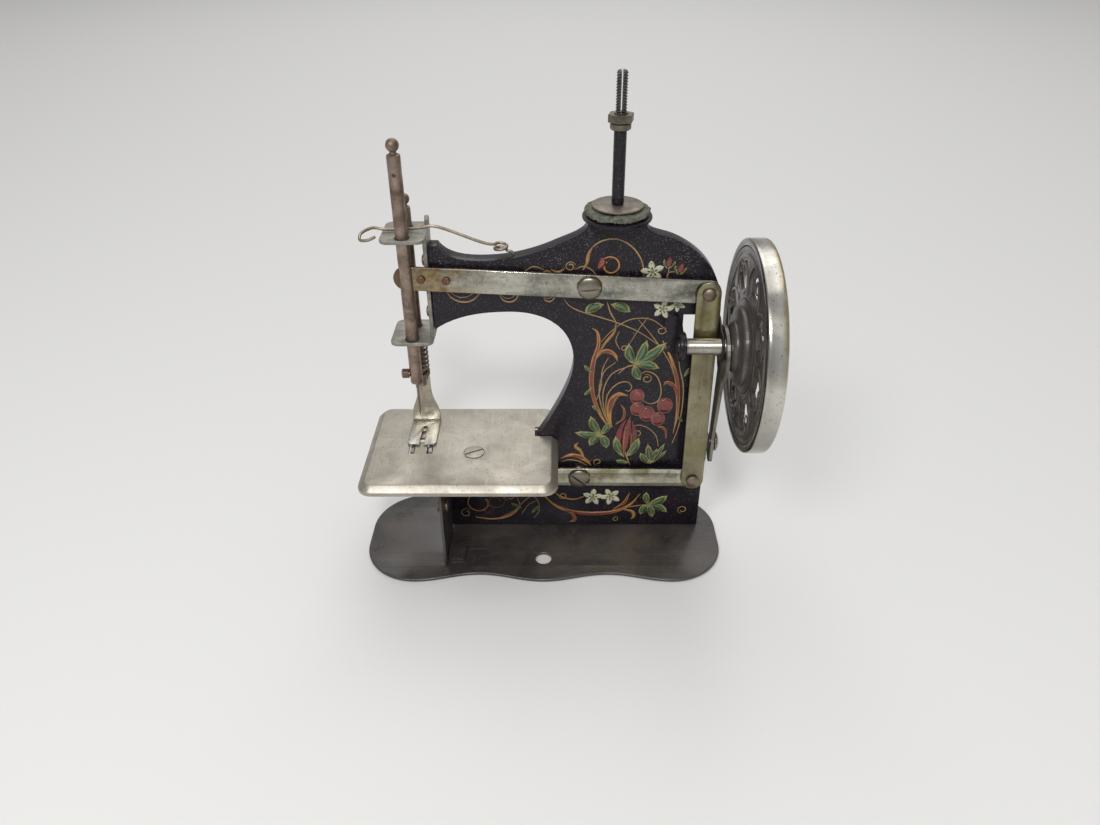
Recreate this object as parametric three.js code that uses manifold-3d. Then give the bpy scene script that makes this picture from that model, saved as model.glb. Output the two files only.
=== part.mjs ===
// A small hand-cranked sewing machine of pressed and folded sheet metal.
// Millimetres, +Z up. The origin is the centre of the base's underside; X runs along the arm towards the
// handwheel and Y runs from the front to the back.
import * as THREE from "three";
import { mergeVertices } from "three/addons/utils/BufferGeometryUtils.js";
import Module from "manifold-3d";

const wasm = await Module();
wasm.setup();

// ---- driving dimensions ----
const gap = 0.3; // clearance between pieces that touch or run in each other
const sheet = 0.8; // tin plate of the body

const base = { length: 150, depth: 56, thick: 1.4, cornerR: 22, wave: 4, holeR: 3.3, holeY: 15 };
const body = { face: 6.3, depth: 6, left: -40.2, right: 67.2, shoulderZ: 104, neckZ: 139.6 };
const neck = { left: 17, right: 37.7 };
const arm = { end: -40.6, endTop: 130.6, endBottom: 97, waist: 124.9, waistX: -22, crown: 104.4, crownX: -11.7 };
const arch = { right: 12.3, midZ: 83, tipX: -2.6 };
const plate = { left: -70.9, right: 6.2, front: -35.4, back: 23, top: 47.9, thick: 0.9, cornerR: 6, bevel: 2.6, drop: 2.4 };
const plateScrew = { x: -27.4, y: -11.8, headR: 4, shankR: 1.5 };
const leg = { x: -41.1, thick: 1, reach: 26, tabLength: 17, tabFront: -18, tabBack: -9.2 };
const bars = { x: -49, needleY: -3, presserY: 8.5 };
const needleBar = { r: 2.4, bottom: 75.5, top: 164.6, ballR: 2.3, eyeZ: 158, eyeR: 0.7 };
const needle = { r: 0.6, tip: 60, seat: 8, clampZ: 79.5 };
const presserBar = { r: 2, bottom: 67.6, top: 142.6, ballR: 2 };
const bracket = { thick: 1.4, back: 11, front: -1.4, lugTop: 134.3, lugBottom: 93.9, lugLeft: -57.1, lugFront: -6.5, lugBack: 13.5, horn: 4.5 };
const lever = { width: 9.2, thick: 1.2, pivotX: 17.8, pivotZ: 116, tilt: 3, linkArm: 43.7 };
const lowerLever = { width: 8.7, pivotX: 15.1, pivotZ: 29, leftArm: 49.5, tilt: 0.5 };
const link = { width: 9, thick: 1.2, bottomX: 62.3, tabLow: 38, tabHigh: 52 };
const pivotScrew = { headR: 4.5, headH: 2.2, shankR: 1.7, spacerR: 4 };
const rivet = { headR: 2.5, headH: 1.5, shankR: 1.5 };
const shaft = { y: -10.3, z: 95.1, r: 3.05, left: 50.2 };
const lug = { thick: 1.2, bendR: 4, x: 52.5, rootHalf: 8, noseR: 5.6 };
const eccentric = { throwY: 3.1, throwZ: -4.6, margin: 0.4, left: 67.9, thick: 1.4 };
const rod = { wall: 1.4, pivotY: -3.4, pivotZ: 47.6, footR: 3.6, neckWidth: 5.2, headR: 4, headH: 1.8 };
const wheel = { inner: 74.4, outer: 81.6, r: 39.6, rimWall: 2.7, webX: 74.9, web: 1.6, hubR: 17.4, stepR: 15, noseR: 9.6 };
const wheelHoles = { count: 8, inner: 21.5, outer: 31.5, halfAngle: 14 };
const spindle = { x: 27.3, tailR: 1.6, tailLength: 7, rodR: 2.2, rodHeight: 30.9 };
const discR = 12.5, discH = 1.3, feltR = 11.85, feltH = 2.4, washerR = 9.2, washerH = 0.8;
const collarNut = { r: 3.6, h: 2.2 };
const hexNut = { acrossFlats: 8, h: 3 };
const stud = { r: 1.95, height: 50.1, slit: 0.6, slitDepth: 14 };
const wire = { r: 0.55, coilR: 2.3, coilTurns: 1.5, coilPitch: 1.6, anchorRise: 1.2 };
const foot = { thick: 0.8, bendZ: 50.2, topHalf: 2.8, bendHalf: 5.8, toeY: -7.4, slitHalf: 0.9, slitBack: 1.5 };
const spring = { r: 3.1, wireR: 0.45, turns: 9, collarH: 1.2 };
const feed = { left: -54, right: -31, y: -5.8, width: 4.2, bottom: 43.2, top: 44.9, toothX: 3.6, toothWidth: 1.5 };
const feedSlot = { width: 2.4, length: 11.5 };
const looper = { y: -16, z: 24, tipY: -9.5, tipZ: 40.5, thick: 1, width: 5, hookX: -47.2, hookR: 0.8, pinR: 1.5 };
const needleHoleR = 1.5;

// ---- places that follow from them ----
const zBase = base.thick; // heights above are measured from the top of the base
const z = (height) => zBase + height;
const yBody = (behindFace) => body.face + behindFace;
const bodyFront = yBody(0);
const bodyBack = yBody(body.depth);
const leverFront = yBody(bars.needleY) - lever.thick / 2;
const leverBack = yBody(bars.needleY) + lever.thick / 2;
const linkBack = leverFront - gap;
const linkFront = linkBack - link.thick;
const tiltRad = THREE.MathUtils.degToRad(lever.tilt);
const lowTiltRad = THREE.MathUtils.degToRad(lowerLever.tilt);
const needleArm = (lever.pivotX - bars.x) / Math.cos(tiltRad);
const topRivet = {
  x: lever.pivotX + lever.linkArm * Math.cos(tiltRad),
  z: z(lever.pivotZ - lever.linkArm * Math.sin(tiltRad)),
};
const lowerArm = (link.bottomX - lowerLever.pivotX) / Math.cos(lowTiltRad);
const bottomRivet = { x: link.bottomX, z: z(lowerLever.pivotZ - lowerArm * Math.sin(lowTiltRad)) };
const leverEnd = { x: bars.x, z: z(lever.pivotZ + needleArm * Math.sin(tiltRad)) };
const shaftY = yBody(shaft.y);
const shaftZ = z(shaft.z);
const throwR = Math.hypot(eccentric.throwY, eccentric.throwZ);
const eccentricR = throwR + shaft.r + eccentric.margin;
const eccentricY = shaftY + eccentric.throwY;
const eccentricZ = shaftZ + eccentric.throwZ;
const rodLeft = eccentric.left + 0.1;
const rodRight = rodLeft + 1.2;
const plateTop = z(plate.top);
const plateUnder = plateTop - plate.thick;
const spindleY = (bodyFront + bodyBack) / 2;
const neckTop = z(body.neckZ);
const discBottom = neckTop + gap;
const feltBottom = discBottom + discH + gap;
const washerBottom = feltBottom + feltH + gap;
const rodBottom = washerBottom + washerH + gap;

// ---- materials ----
const paint = (color, roughness, metalness) => new THREE.MeshStandardMaterial({ color, roughness, metalness });
const black = paint(0x17141a, 0.35, 0.1);
const wornBlack = paint(0x2b2522, 0.5, 0.3);
const nickel = paint(0xa9a596, 0.35, 0.9);
const dullNickel = paint(0x8f8d7e, 0.45, 0.9);
const greySheet = paint(0x83817a, 0.6, 0.6);
const brownSteel = paint(0x6e5a4b, 0.5, 0.8);
const darkCast = paint(0x4b4643, 0.55, 0.6);
const brass = paint(0x9a8a5e, 0.4, 0.9);
const felt = paint(0x5b5d52, 0.95, 0);

// ---- solids ----
function solid(geometry) {
  const g = geometry.clone();
  g.deleteAttribute("normal");
  if (g.getAttribute("uv")) g.deleteAttribute("uv");
  const merged = mergeVertices(g, 1e-4);
  return new wasm.Manifold(
    new wasm.Mesh({
      numProp: 3,
      vertProperties: merged.attributes.position.array,
      triVerts: new Uint32Array(merged.index.array),
    }),
  );
}

function geometryOf(body3d) {
  const made = body3d.getMesh();
  const g = new THREE.BufferGeometry();
  g.setAttribute("position", new THREE.BufferAttribute(new Float32Array(made.vertProperties), 3));
  g.setIndex(new THREE.BufferAttribute(new Uint32Array(made.triVerts), 1));
  const flat = g.toNonIndexed();
  flat.computeVertexNormals();
  return flat;
}

const join = (...pieces) => pieces.reduce((a, b) => a.add(b));
const cut = (piece, ...tools) => tools.reduce((a, b) => a.subtract(b), piece);

// Turns a geometry built along local Z so that its local x, y, z lie along the named axes.
const turns = {
  z: new THREE.Matrix4(),
  x: new THREE.Matrix4().makeBasis(
    new THREE.Vector3(0, 1, 0),
    new THREE.Vector3(0, 0, 1),
    new THREE.Vector3(1, 0, 0),
  ),
  y: new THREE.Matrix4().makeBasis(
    new THREE.Vector3(1, 0, 0),
    new THREE.Vector3(0, 0, 1),
    new THREE.Vector3(0, -1, 0),
  ),
};

// A flat outline made into a slab between two planes: "z" outlines are (X, Y), "y" are (X, Z), "x" are (Y, Z).
function slab(shape, axis, from, to, curveSegments = 12) {
  const g = new THREE.ExtrudeGeometry(shape, { depth: to - from, bevelEnabled: false, curveSegments });
  g.applyMatrix4(turns[axis]);
  const at = { z: [0, 0, from], y: [0, to, 0], x: [from, 0, 0] }[axis];
  g.translate(...at);
  return solid(g);
}

function box(x0, x1, y0, y1, z0, z1) {
  const g = new THREE.BoxGeometry(x1 - x0, y1 - y0, z1 - z0);
  g.translate((x0 + x1) / 2, (y0 + y1) / 2, (z0 + z1) / 2);
  return solid(g);
}

// A turned piece: the profile is a list of [radius, distance along the axis], and it closes on itself.
function turned(profile, axis, centre, segments = 20) {
  const points = [...profile, profile[0]].map(([r, t]) => new THREE.Vector2(Math.max(r, 0), t));
  const g = new THREE.LatheGeometry(points, segments);
  g.rotateX(Math.PI / 2); // the lathe's own axis is Y; this lays it along Z
  const facing = { z: turns.z, x: turns.x, y: turns.y }[axis];
  g.applyMatrix4(facing);
  g.translate(...centre);
  const made = solid(g);
  return made.volume() < 0 ? solid(flipped(g)) : made;
}

function flipped(geometry) {
  const g = geometry.clone();
  const index = g.index.array;
  for (let i = 0; i < index.length; i += 3) [index[i + 1], index[i + 2]] = [index[i + 2], index[i + 1]];
  return g;
}

const rod3 = (r, axis, centre, from, to, segments = 14) =>
  turned([[0, from], [r, from], [r, to], [0, to]], axis, centre, segments);

const ring3 = (inner, outer, axis, centre, from, to, segments = 24) =>
  turned([[inner, from], [outer, from], [outer, to], [inner, to]], axis, centre, segments);

// A dome on a short land, as on rivets and screw heads, standing up from `from` along the axis.
function dome(r, h, axis, centre, from, direction, segments = 14) {
  const land = h * 0.3;
  const profile = [[0, from], [r, from], [r, from + direction * land]];
  const steps = 3;
  for (let i = 1; i < steps; i++) {
    const a = (i / steps) * (Math.PI / 2);
    profile.push([r * Math.cos(a), from + direction * (land + (h - land) * Math.sin(a))]);
  }
  profile.push([0, from + direction * h]);
  return turned(profile, axis, centre, segments);
}

const parts = new THREE.Group();
parts.name = "sewing_machine";

function add(name, made, material) {
  const mesh = new THREE.Mesh(made instanceof THREE.BufferGeometry ? made : geometryOf(made), material);
  mesh.name = name;
  parts.add(mesh);
}

// A strip with round ends between two points, of even width.
function stripShape(x0, y0, x1, y1, width) {
  const angle = Math.atan2(y1 - y0, x1 - x0);
  const shape = new THREE.Shape();
  shape.absarc(x1, y1, width / 2, angle - Math.PI / 2, angle + Math.PI / 2, false);
  shape.absarc(x0, y0, width / 2, angle + Math.PI / 2, angle + (3 * Math.PI) / 2, false);
  shape.closePath();
  return shape;
}

function roundedRect(x0, x1, y0, y1, r) {
  const shape = new THREE.Shape();
  shape.absarc(x1 - r, y0 + r, r, -Math.PI / 2, 0, false);
  shape.absarc(x1 - r, y1 - r, r, 0, Math.PI / 2, false);
  shape.absarc(x0 + r, y1 - r, r, Math.PI / 2, Math.PI, false);
  shape.absarc(x0 + r, y0 + r, r, Math.PI, Math.PI * 1.5, false);
  shape.closePath();
  return shape;
}

// ---- base ----
function baseOutline() {
  const half = base.length / 2;
  const deep = base.depth / 2;
  const r = base.cornerR;
  const flat = half - r;
  const shape = new THREE.Shape();
  const waves = 18;
  shape.moveTo(-flat, -deep);
  for (let i = 1; i <= waves; i++) {
    const x = -flat + (2 * flat * i) / waves;
    shape.lineTo(x, -deep + base.wave * Math.sin((Math.PI * x) / flat) ** 2);
  }
  shape.absarc(flat, -deep + r, r, -Math.PI / 2, 0, false);
  shape.absarc(flat, deep - r, r, 0, Math.PI / 2, false);
  for (let i = 0; i <= waves; i++) {
    const x = flat - (2 * flat * i) / waves;
    shape.lineTo(x, deep - base.wave * Math.sin((Math.PI * x) / flat) ** 2);
  }
  shape.absarc(-flat, deep - r, r, Math.PI / 2, Math.PI, false);
  shape.absarc(-flat, -deep + r, r, Math.PI, Math.PI * 1.5, false);
  shape.closePath();
  return shape;
}

add(
  "base_plate",
  cut(
    slab(baseOutline(), "z", 0, base.thick, 6),
    rod3(base.holeR, "z", [0, -base.holeY, 0], -1, base.thick + 1),
    rod3(base.holeR, "z", [0, base.holeY, 0], -1, base.thick + 1),
  ),
  wornBlack,
);

// ---- body: two shells of tin plate, the front one with a folded rim ----
function bodyOutline() {
  const s = new THREE.Shape();
  const underPlate = plateUnder - gap;
  s.moveTo(body.left, z(gap));
  s.lineTo(body.right, z(gap));
  s.lineTo(body.right, z(body.shoulderZ));
  s.bezierCurveTo(body.right, z(body.shoulderZ + 12), 62, z(127), 48.1, z(133));
  s.bezierCurveTo(43, z(135.2), neck.right, z(134.5), neck.right, neckTop);
  s.lineTo(neck.left, neckTop);
  s.bezierCurveTo(neck.left, z(134.6), 11, z(133.6), 3.3, z(130));
  s.bezierCurveTo(-4, z(127), -12, z(arm.waist), arm.waistX, z(arm.waist));
  s.bezierCurveTo(-30, z(arm.waist), -35, z(126.6), -37.5, z(arm.endTop));
  s.lineTo(arm.end, z(arm.endTop));
  s.lineTo(arm.end, z(arm.endBottom));
  s.bezierCurveTo(-33, z(102.4), -24, z(arm.crown), arm.crownX, z(arm.crown));
  s.bezierCurveTo(0, z(arm.crown), arch.right, z(99), arch.right, z(arch.midZ));
  s.bezierCurveTo(arch.right, z(74), 5.5, z(60), arch.tipX, underPlate);
  s.lineTo(body.left, underPlate);
  s.closePath();
  return s;
}

const outlineSteps = 5;
const outline = bodyOutline();
const outlinePoints = outline.getPoints(outlineSteps);

// The folded rim: a strip of the given half-width along every edge of the outline but the bottom one.
function rimBand(halfWidth, from, to) {
  let band = null;
  const count = outlinePoints.length;
  for (let i = 0; i < count; i++) {
    const a = outlinePoints[i];
    const b = outlinePoints[(i + 1) % count];
    if (a.distanceTo(b) < 0.01 || (a.y < z(1) && b.y < z(1))) continue;
    const piece = slab(stripShape(a.x, a.y, b.x, b.y, halfWidth * 2), "y", from, to, 2);
    band = band ? band.add(piece) : piece;
  }
  return band;
}

const windowShape = roundedRect(lug.x + 1, link.bottomX, shaftZ - lug.rootHalf, shaftZ + lug.rootHalf, 3);
const throughWindow = slab(windowShape, "y", bodyFront - 1, bodyBack + 1, 6);
const pivotBores = [
  [lever.pivotX, z(lever.pivotZ)],
  [lowerLever.pivotX, z(lowerLever.pivotZ)],
].map(([x, height]) => rod3(pivotScrew.shankR + gap, "y", [x, 0, height], -(bodyFront + 2), -(bodyFront - 2)));

// The left bearing lug is a tongue of the front shell, bent forward round a soft bend.
function leftLug() {
  const outerR = lug.bendR + lug.thick;
  const root = lug.x - outerR;
  const bend = new THREE.Shape();
  bend.moveTo(root - 0.5, bodyFront + sheet);
  bend.lineTo(root - 0.5, bodyFront);
  bend.lineTo(root, bodyFront);
  bend.absarc(root, bodyFront - lug.bendR, lug.bendR, Math.PI / 2, 0, true);
  bend.lineTo(lug.x - lug.thick, shaftY - lug.noseR);
  bend.lineTo(lug.x, shaftY - lug.noseR);
  bend.absarc(root, bodyFront - lug.bendR, outerR, 0, Math.PI / 2, false);
  bend.closePath();
  const strip = slab(bend, "z", shaftZ - lug.rootHalf, shaftZ + lug.rootHalf, 8);
  const side = new THREE.Shape();
  side.moveTo(bodyBack, shaftZ - lug.rootHalf);
  side.lineTo(bodyBack, shaftZ + lug.rootHalf);
  side.lineTo(bodyFront - 2, shaftZ + lug.rootHalf);
  side.lineTo(shaftY + 1, shaftZ + lug.noseR);
  side.absarc(shaftY, shaftZ, lug.noseR, Math.PI / 2, Math.PI * 1.5, false);
  side.lineTo(bodyFront - 2, shaftZ - lug.rootHalf);
  side.closePath();
  return strip.intersect(slab(side, "x", root - 1, lug.x + 1, 10));
}

// The right bearing lug stands square off the rim's right edge.
function rightLug() {
  const side = new THREE.Shape();
  side.moveTo(bodyFront + sheet, shaftZ - lug.rootHalf);
  side.lineTo(bodyFront + sheet, shaftZ + lug.rootHalf);
  side.lineTo(bodyFront - 2, shaftZ + lug.rootHalf);
  side.lineTo(shaftY + 1, shaftZ + lug.noseR);
  side.absarc(shaftY, shaftZ, lug.noseR, Math.PI / 2, Math.PI * 1.5, false);
  side.lineTo(bodyFront - 2, shaftZ - lug.rootHalf);
  side.closePath();
  return slab(side, "x", body.right - sheet, body.right, 10);
}

const shaftBore = rod3(shaft.r + gap, "x", [0, shaftY, shaftZ], shaft.left - 5, body.right + 3);
const bracketScrewZ = [z(arm.endBottom + 6.5), z(arm.endTop - 6.5)];
const bracketRivetY = (bodyFront + bodyBack) / 2;
const bracketBores = bracketScrewZ.map((height) =>
  rod3(1.2 + gap, "x", [0, bracketRivetY, height], arm.end - 2, arm.end + 2, 12),
);
const spindleBore = rod3(spindle.tailR + gap, "z", [spindle.x, spindleY, 0], neckTop - 3, neckTop + 3, 20);
const wireX = -9.9;
const wireAnchorZ = z(arm.waist + wire.anchorRise);
const wireBore = rod3(wire.r + gap, "z", [wireX, spindleY, 0], wireAnchorZ - 6, wireAnchorZ + 6, 12);

const frontSheet = slab(outline, "y", bodyFront, bodyFront + sheet, outlineSteps);
const rim = slab(outline, "y", bodyFront, bodyBack, outlineSteps).intersect(rimBand(sheet, bodyFront, bodyBack));
add(
  "body_front_shell",
  cut(
    join(cut(join(frontSheet, rim), throughWindow, ...pivotBores), leftLug(), rightLug()),
    shaftBore,
    ...bracketBores,
    spindleBore,
    wireBore,
  ),
  black,
);
add(
  "body_back_shell",
  cut(slab(outline, "y", bodyBack - sheet, bodyBack, outlineSteps), rimBand(sheet + gap, bodyBack - sheet - 1, bodyBack + 1), throughWindow),
  black,
);

// ---- leg that carries the front of the cloth plate ----
const legRight = leg.x + leg.thick;
const legShape = roundedRect(bodyFront - leg.reach, bodyFront - gap, z(gap), plateUnder - gap, 1.2);
const legPlate = slab(legShape, "x", leg.x, legRight, 4);
const legTab = slab(
  roundedRect(leg.x, legRight + leg.tabLength, yBody(leg.tabFront), yBody(leg.tabBack), 0.4),
  "z",
  plateUnder - gap - leg.thick,
  plateUnder - gap,
  3,
);
const feedFront = yBody(feed.y) - feed.width / 2;
const feedBack = yBody(feed.y) + feed.width / 2;
const feedTravel = { forward: 2.6, back: 0.4 };
const feedWindow = box(
  leg.x - 1,
  legRight + 1,
  feedFront - feedTravel.forward - gap,
  feedBack + feedTravel.back + gap,
  z(feed.bottom) - gap,
  z(feed.top) + gap,
);
const looperPinZ = z(looper.z);
const looperPinY = yBody(looper.y);
add(
  "front_leg",
  cut(
    join(legPlate, legTab),
    feedWindow,
    rod3(looper.pinR + gap, "x", [0, looperPinY, looperPinZ], leg.x - 2, legRight + 2, 16),
    rod3(plateScrew.shankR + gap, "z", [plateScrew.x, yBody(plateScrew.y), 0], plateUnder - 6, plateUnder + 1, 16),
  ),
  wornBlack,
);
add(
  "leg_foot",
  slab(
    roundedRect(legRight + gap, legRight + gap + 7, yBody(-leg.reach + 3), yBody(-leg.reach + 12), 1.5),
    "z",
    zBase + gap,
    zBase + gap + leg.thick,
    4,
  ),
  wornBlack,
);

// ---- cloth plate: a shallow tray turned upside down ----
function trayBlank(inset, top, height) {
  const shape = roundedRect(
    plate.left + inset,
    plate.right - inset,
    yBody(plate.front) + inset,
    yBody(plate.back) - inset,
    Math.max(plate.cornerR - inset, 0.8),
  );
  const g = new THREE.ExtrudeGeometry(shape, {
    depth: height,
    bevelEnabled: true,
    bevelThickness: plate.drop,
    bevelSize: plate.bevel,
    bevelOffset: -plate.bevel,
    bevelSegments: 2,
    curveSegments: 4,
  });
  g.translate(0, 0, top - height - plate.drop);
  return solid(g);
}

const plateFloor = plateTop - plate.drop - 0.4;
const trayOuter = trayBlank(0, plateTop, 4);
const trayInner = trayBlank(plate.thick, plateUnder, 4);
const belowTray = box(plate.left - 5, plate.right + 5, yBody(plate.front) - 5, yBody(plate.back) + 5, plateFloor - 20, plateFloor);
const bodyNotch = box(
  arch.tipX - 0.8,
  plate.right + 5,
  bodyFront - gap - 0.1,
  bodyBack + gap + 0.1,
  plateFloor - 10,
  plateTop + 5,
);
const countersink = turned(
  [[0, plateUnder - 1], [plateScrew.shankR + gap, plateUnder - 1], [plateScrew.shankR + gap, plateTop - 0.55],
    [plateScrew.headR + gap, plateTop - 0.55], [plateScrew.headR + gap, plateTop + 1], [0, plateTop + 1]],
  "z",
  [plateScrew.x, yBody(plateScrew.y), 0],
);
const needleHole = rod3(needleHoleR, "z", [bars.x, yBody(bars.needleY), 0], plateUnder - 2, plateTop + 2, 20);
const feedSlots = [-1, 1].map((side) => {
  const x = bars.x + side * feed.toothX;
  const middle = yBody(feed.y) - (feedTravel.forward - feedTravel.back) / 2;
  const shape = roundedRect(
    x - feedSlot.width / 2,
    x + feedSlot.width / 2,
    middle - feedSlot.length / 2,
    middle + feedSlot.length / 2,
    0.5,
  );
  return slab(shape, "z", plateUnder - 2, plateTop + 2, 3);
});
add(
  "cloth_plate",
  cut(cut(trayOuter, belowTray), trayInner, bodyNotch, countersink, needleHole, ...feedSlots),
  nickel,
);

const slotCut = (x, y, height, length, width, depth) =>
  box(x - length / 2, x + length / 2, y - width / 2, y + width / 2, height - depth, height + 1);
add(
  "cloth_plate_screw",
  cut(
    turned(
      [[0, plateUnder - 5], [plateScrew.shankR, plateUnder - 5], [plateScrew.shankR, plateTop - 0.2],
        [plateScrew.headR, plateTop - 0.2], [plateScrew.headR, plateTop + 0.25], [0, plateTop + 0.45]],
      "z",
      [plateScrew.x, yBody(plateScrew.y), 0],
    ),
    slotCut(plateScrew.x, yBody(plateScrew.y), plateTop + 0.5, plateScrew.headR * 3, 1, 0.45),
  ),
  nickel,
);

// ---- head bracket: one strip folded to a C, its two lugs guide the bars ----
const bracketRight = arm.end - gap;
const bracketLeft = bracketRight - bracket.thick;
const lugZ = [z(bracket.lugTop), z(bracket.lugBottom)];
const hornR = 1.6;
function bracketSolid() {
  const side = new THREE.Shape();
  const top = z(bracket.lugTop) + bracket.horn;
  side.moveTo(yBody(bracket.front), z(bracket.lugBottom) - bracket.thick / 2);
  side.lineTo(yBody(bracket.back), z(bracket.lugBottom) - bracket.thick / 2);
  const hornY = yBody(bracket.back) - hornR;
  side.absarc(hornY, top - hornR, hornR, 0, Math.PI, false);
  side.lineTo(hornY - hornR, z(bracket.lugTop));
  side.lineTo(yBody(bracket.front), z(bracket.lugTop));
  side.closePath();
  const wall = slab(side, "x", bracketLeft, bracketRight, 6);
  const lugs = lugZ.map((height) =>
    slab(
      roundedRect(bracket.lugLeft, bracketRight - 0.01, yBody(bracket.lugFront), yBody(bracket.lugBack), 3),
      "z",
      height - bracket.thick / 2,
      height + bracket.thick / 2,
      4,
    ),
  );
  return join(wall, ...lugs);
}
const barBore = (bar, y) => rod3(bar.r + gap, "z", [bars.x, yBody(y), 0], z(80), z(150), 16);
add(
  "head_bracket",
  cut(
    bracketSolid(),
    barBore(needleBar, bars.needleY),
    barBore(presserBar, bars.presserY),
    ...bracketScrewZ.map((height) => rod3(1.2 + gap, "x", [0, bracketRivetY, height], bracketLeft - 2, bracketRight + 2, 12)),
  ),
  greySheet,
);
bracketScrewZ.forEach((height, i) => {
  add(
    `bracket_rivet_${i + 1}`,
    join(
      rod3(1.2, "x", [0, bracketRivetY, height], bracketLeft - gap - 0.2, arm.end + sheet + gap + 0.2, 12),
      dome(2.2, 1.1, "x", [0, bracketRivetY, height], bracketLeft - gap, -1, 16),
      dome(1.9, 0.9, "x", [0, bracketRivetY, height], arm.end + sheet + gap, 1, 16),
    ),
    brownSteel,
  );
});

// ---- bars ----
function ballBar(bar, y, bottom) {
  const top = z(bar.top);
  const neckR = bar.r * 0.45;
  const profile = [[0, z(bottom)], [bar.r - 0.5, z(bottom)], [bar.r, z(bottom) + 0.6], [bar.r, top - 0.8],
    [bar.r - 0.7, top], [neckR, top + 0.2], [neckR, top + 0.9]];
  const ballZ = top + 0.6 + bar.ballR;
  const steps = 5;
  for (let i = 1; i <= steps; i++) {
    const a = -Math.PI / 2 + 0.5 + ((Math.PI - 0.5) * i) / steps;
    profile.push([Math.max(bar.ballR * Math.cos(a), 0), ballZ + bar.ballR * Math.sin(a)]);
  }
  return turned(profile, "z", [bars.x, yBody(y), 0], 16);
}

const leverSlotHalf = lever.width / 2 + 1.1;
const needleTop = z(needleBar.bottom) + needle.seat;
add(
  "needle_bar",
  cut(
    ballBar(needleBar, bars.needleY, needleBar.bottom),
    box(
      bars.x - needleBar.r - 1,
      bars.x + needleBar.r + 1,
      leverFront - gap,
      leverBack + gap,
      leverEnd.z - leverSlotHalf,
      leverEnd.z + leverSlotHalf,
    ),
    rod3(needle.r + gap, "z", [bars.x, yBody(bars.needleY), 0], z(needleBar.bottom) - 2, needleTop + gap, 12),
    rod3(0.9 + gap, "x", [0, yBody(bars.needleY), z(needle.clampZ)], bars.x - needleBar.r - 1, bars.x, 12),
    rod3(needleBar.eyeR, "y", [bars.x, 0, z(needleBar.eyeZ)], -yBody(6), -yBody(-12), 12),
  ),
  brownSteel,
);
add(
  "needle",
  turned(
    [[0, z(needle.tip)], [0.12, z(needle.tip) + 0.3], [needle.r * 0.75, z(needle.tip) + 5],
      [needle.r * 0.75, z(needleBar.bottom) - 3], [needle.r, z(needleBar.bottom) - 2], [needle.r, needleTop], [0, needleTop]],
    "z",
    [bars.x, yBody(bars.needleY), 0],
    12,
  ),
  dullNickel,
);
add(
  "needle_clamp_screw",
  cut(
    join(
      rod3(0.9, "x", [0, yBody(bars.needleY), z(needle.clampZ)], bars.x - needleBar.r - 1.2, bars.x - needle.r - gap, 12),
      rod3(1.9, "x", [0, yBody(bars.needleY), z(needle.clampZ)], bars.x - needleBar.r - 3, bars.x - needleBar.r - gap, 20),
    ),
    box(bars.x - needleBar.r - 4, bars.x - needleBar.r - 2.3, yBody(bars.needleY) - 0.3, yBody(bars.needleY) + 0.3, z(70), z(90)),
  ),
  brownSteel,
);

// ---- presser bar, foot and spring ----
const footShankFront = yBody(bars.presserY) + presserBar.r + gap;
const footShankBack = footShankFront + foot.thick;
const footUnder = plateTop + gap;
const footPinZ = z(presserBar.bottom) + 2.2;
const shankTop = footPinZ + 2.2;
add(
  "presser_bar",
  cut(
    ballBar(presserBar, bars.presserY, presserBar.bottom),
    rod3(0.9 + gap, "y", [bars.x, 0, footPinZ], -(footShankFront + 1), -yBody(bars.presserY), 12),
  ),
  brownSteel,
);
function presserFoot() {
  const shank = new THREE.Shape();
  const bendZ = z(foot.bendZ);
  shank.moveTo(bars.x - foot.bendHalf, footUnder);
  shank.lineTo(bars.x + foot.bendHalf, footUnder);
  shank.lineTo(bars.x + foot.bendHalf, bendZ);
  shank.bezierCurveTo(bars.x + foot.bendHalf, bendZ + 7, bars.x + foot.topHalf, bendZ + 7, bars.x + foot.topHalf, bendZ + 15);
  shank.absarc(bars.x, shankTop - foot.topHalf, foot.topHalf, 0, Math.PI, false);
  shank.bezierCurveTo(bars.x - foot.topHalf, bendZ + 7, bars.x - foot.bendHalf, bendZ + 7, bars.x - foot.bendHalf, bendZ);
  shank.closePath();
  const upright = slab(shank, "y", footShankFront, footShankBack, 6);
  const sole = new THREE.Shape();
  const toe = yBody(foot.toeY);
  const slitBack = yBody(foot.slitBack);
  sole.moveTo(bars.x - foot.bendHalf, footShankBack);
  sole.lineTo(bars.x - foot.bendHalf, toe + 1);
  sole.lineTo(bars.x - foot.bendHalf + 1, toe);
  sole.lineTo(bars.x - foot.slitHalf, toe);
  sole.lineTo(bars.x - foot.slitHalf, slitBack);
  sole.absarc(bars.x, slitBack, foot.slitHalf, Math.PI, 0, true);
  sole.lineTo(bars.x + foot.slitHalf, toe);
  sole.lineTo(bars.x + foot.bendHalf - 1, toe);
  sole.lineTo(bars.x + foot.bendHalf, toe + 1);
  sole.lineTo(bars.x + foot.bendHalf, footShankBack);
  sole.closePath();
  const flat = slab(sole, "z", footUnder, footUnder + foot.thick, 6);
  return cut(
    join(upright, flat),
    rod3(0.9 + gap, "y", [bars.x, 0, footPinZ], -(footShankBack + 1), -(footShankFront - 1), 12),
    rod3(0.8, "z", [bars.x, slitBack + 3.4, 0], footUnder - 1, footUnder + foot.thick + 1, 12),
  );
}
add("presser_foot", presserFoot(), nickel);
add(
  "presser_foot_screw",
  join(
    rod3(0.9, "y", [bars.x, 0, footPinZ], -(footShankBack + gap + 0.3), -(yBody(bars.presserY) + gap), 12),
    dome(2.3, 1.3, "y", [bars.x, 0, footPinZ], -(footShankBack + gap), -1, 16),
  ),
  nickel,
);

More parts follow.
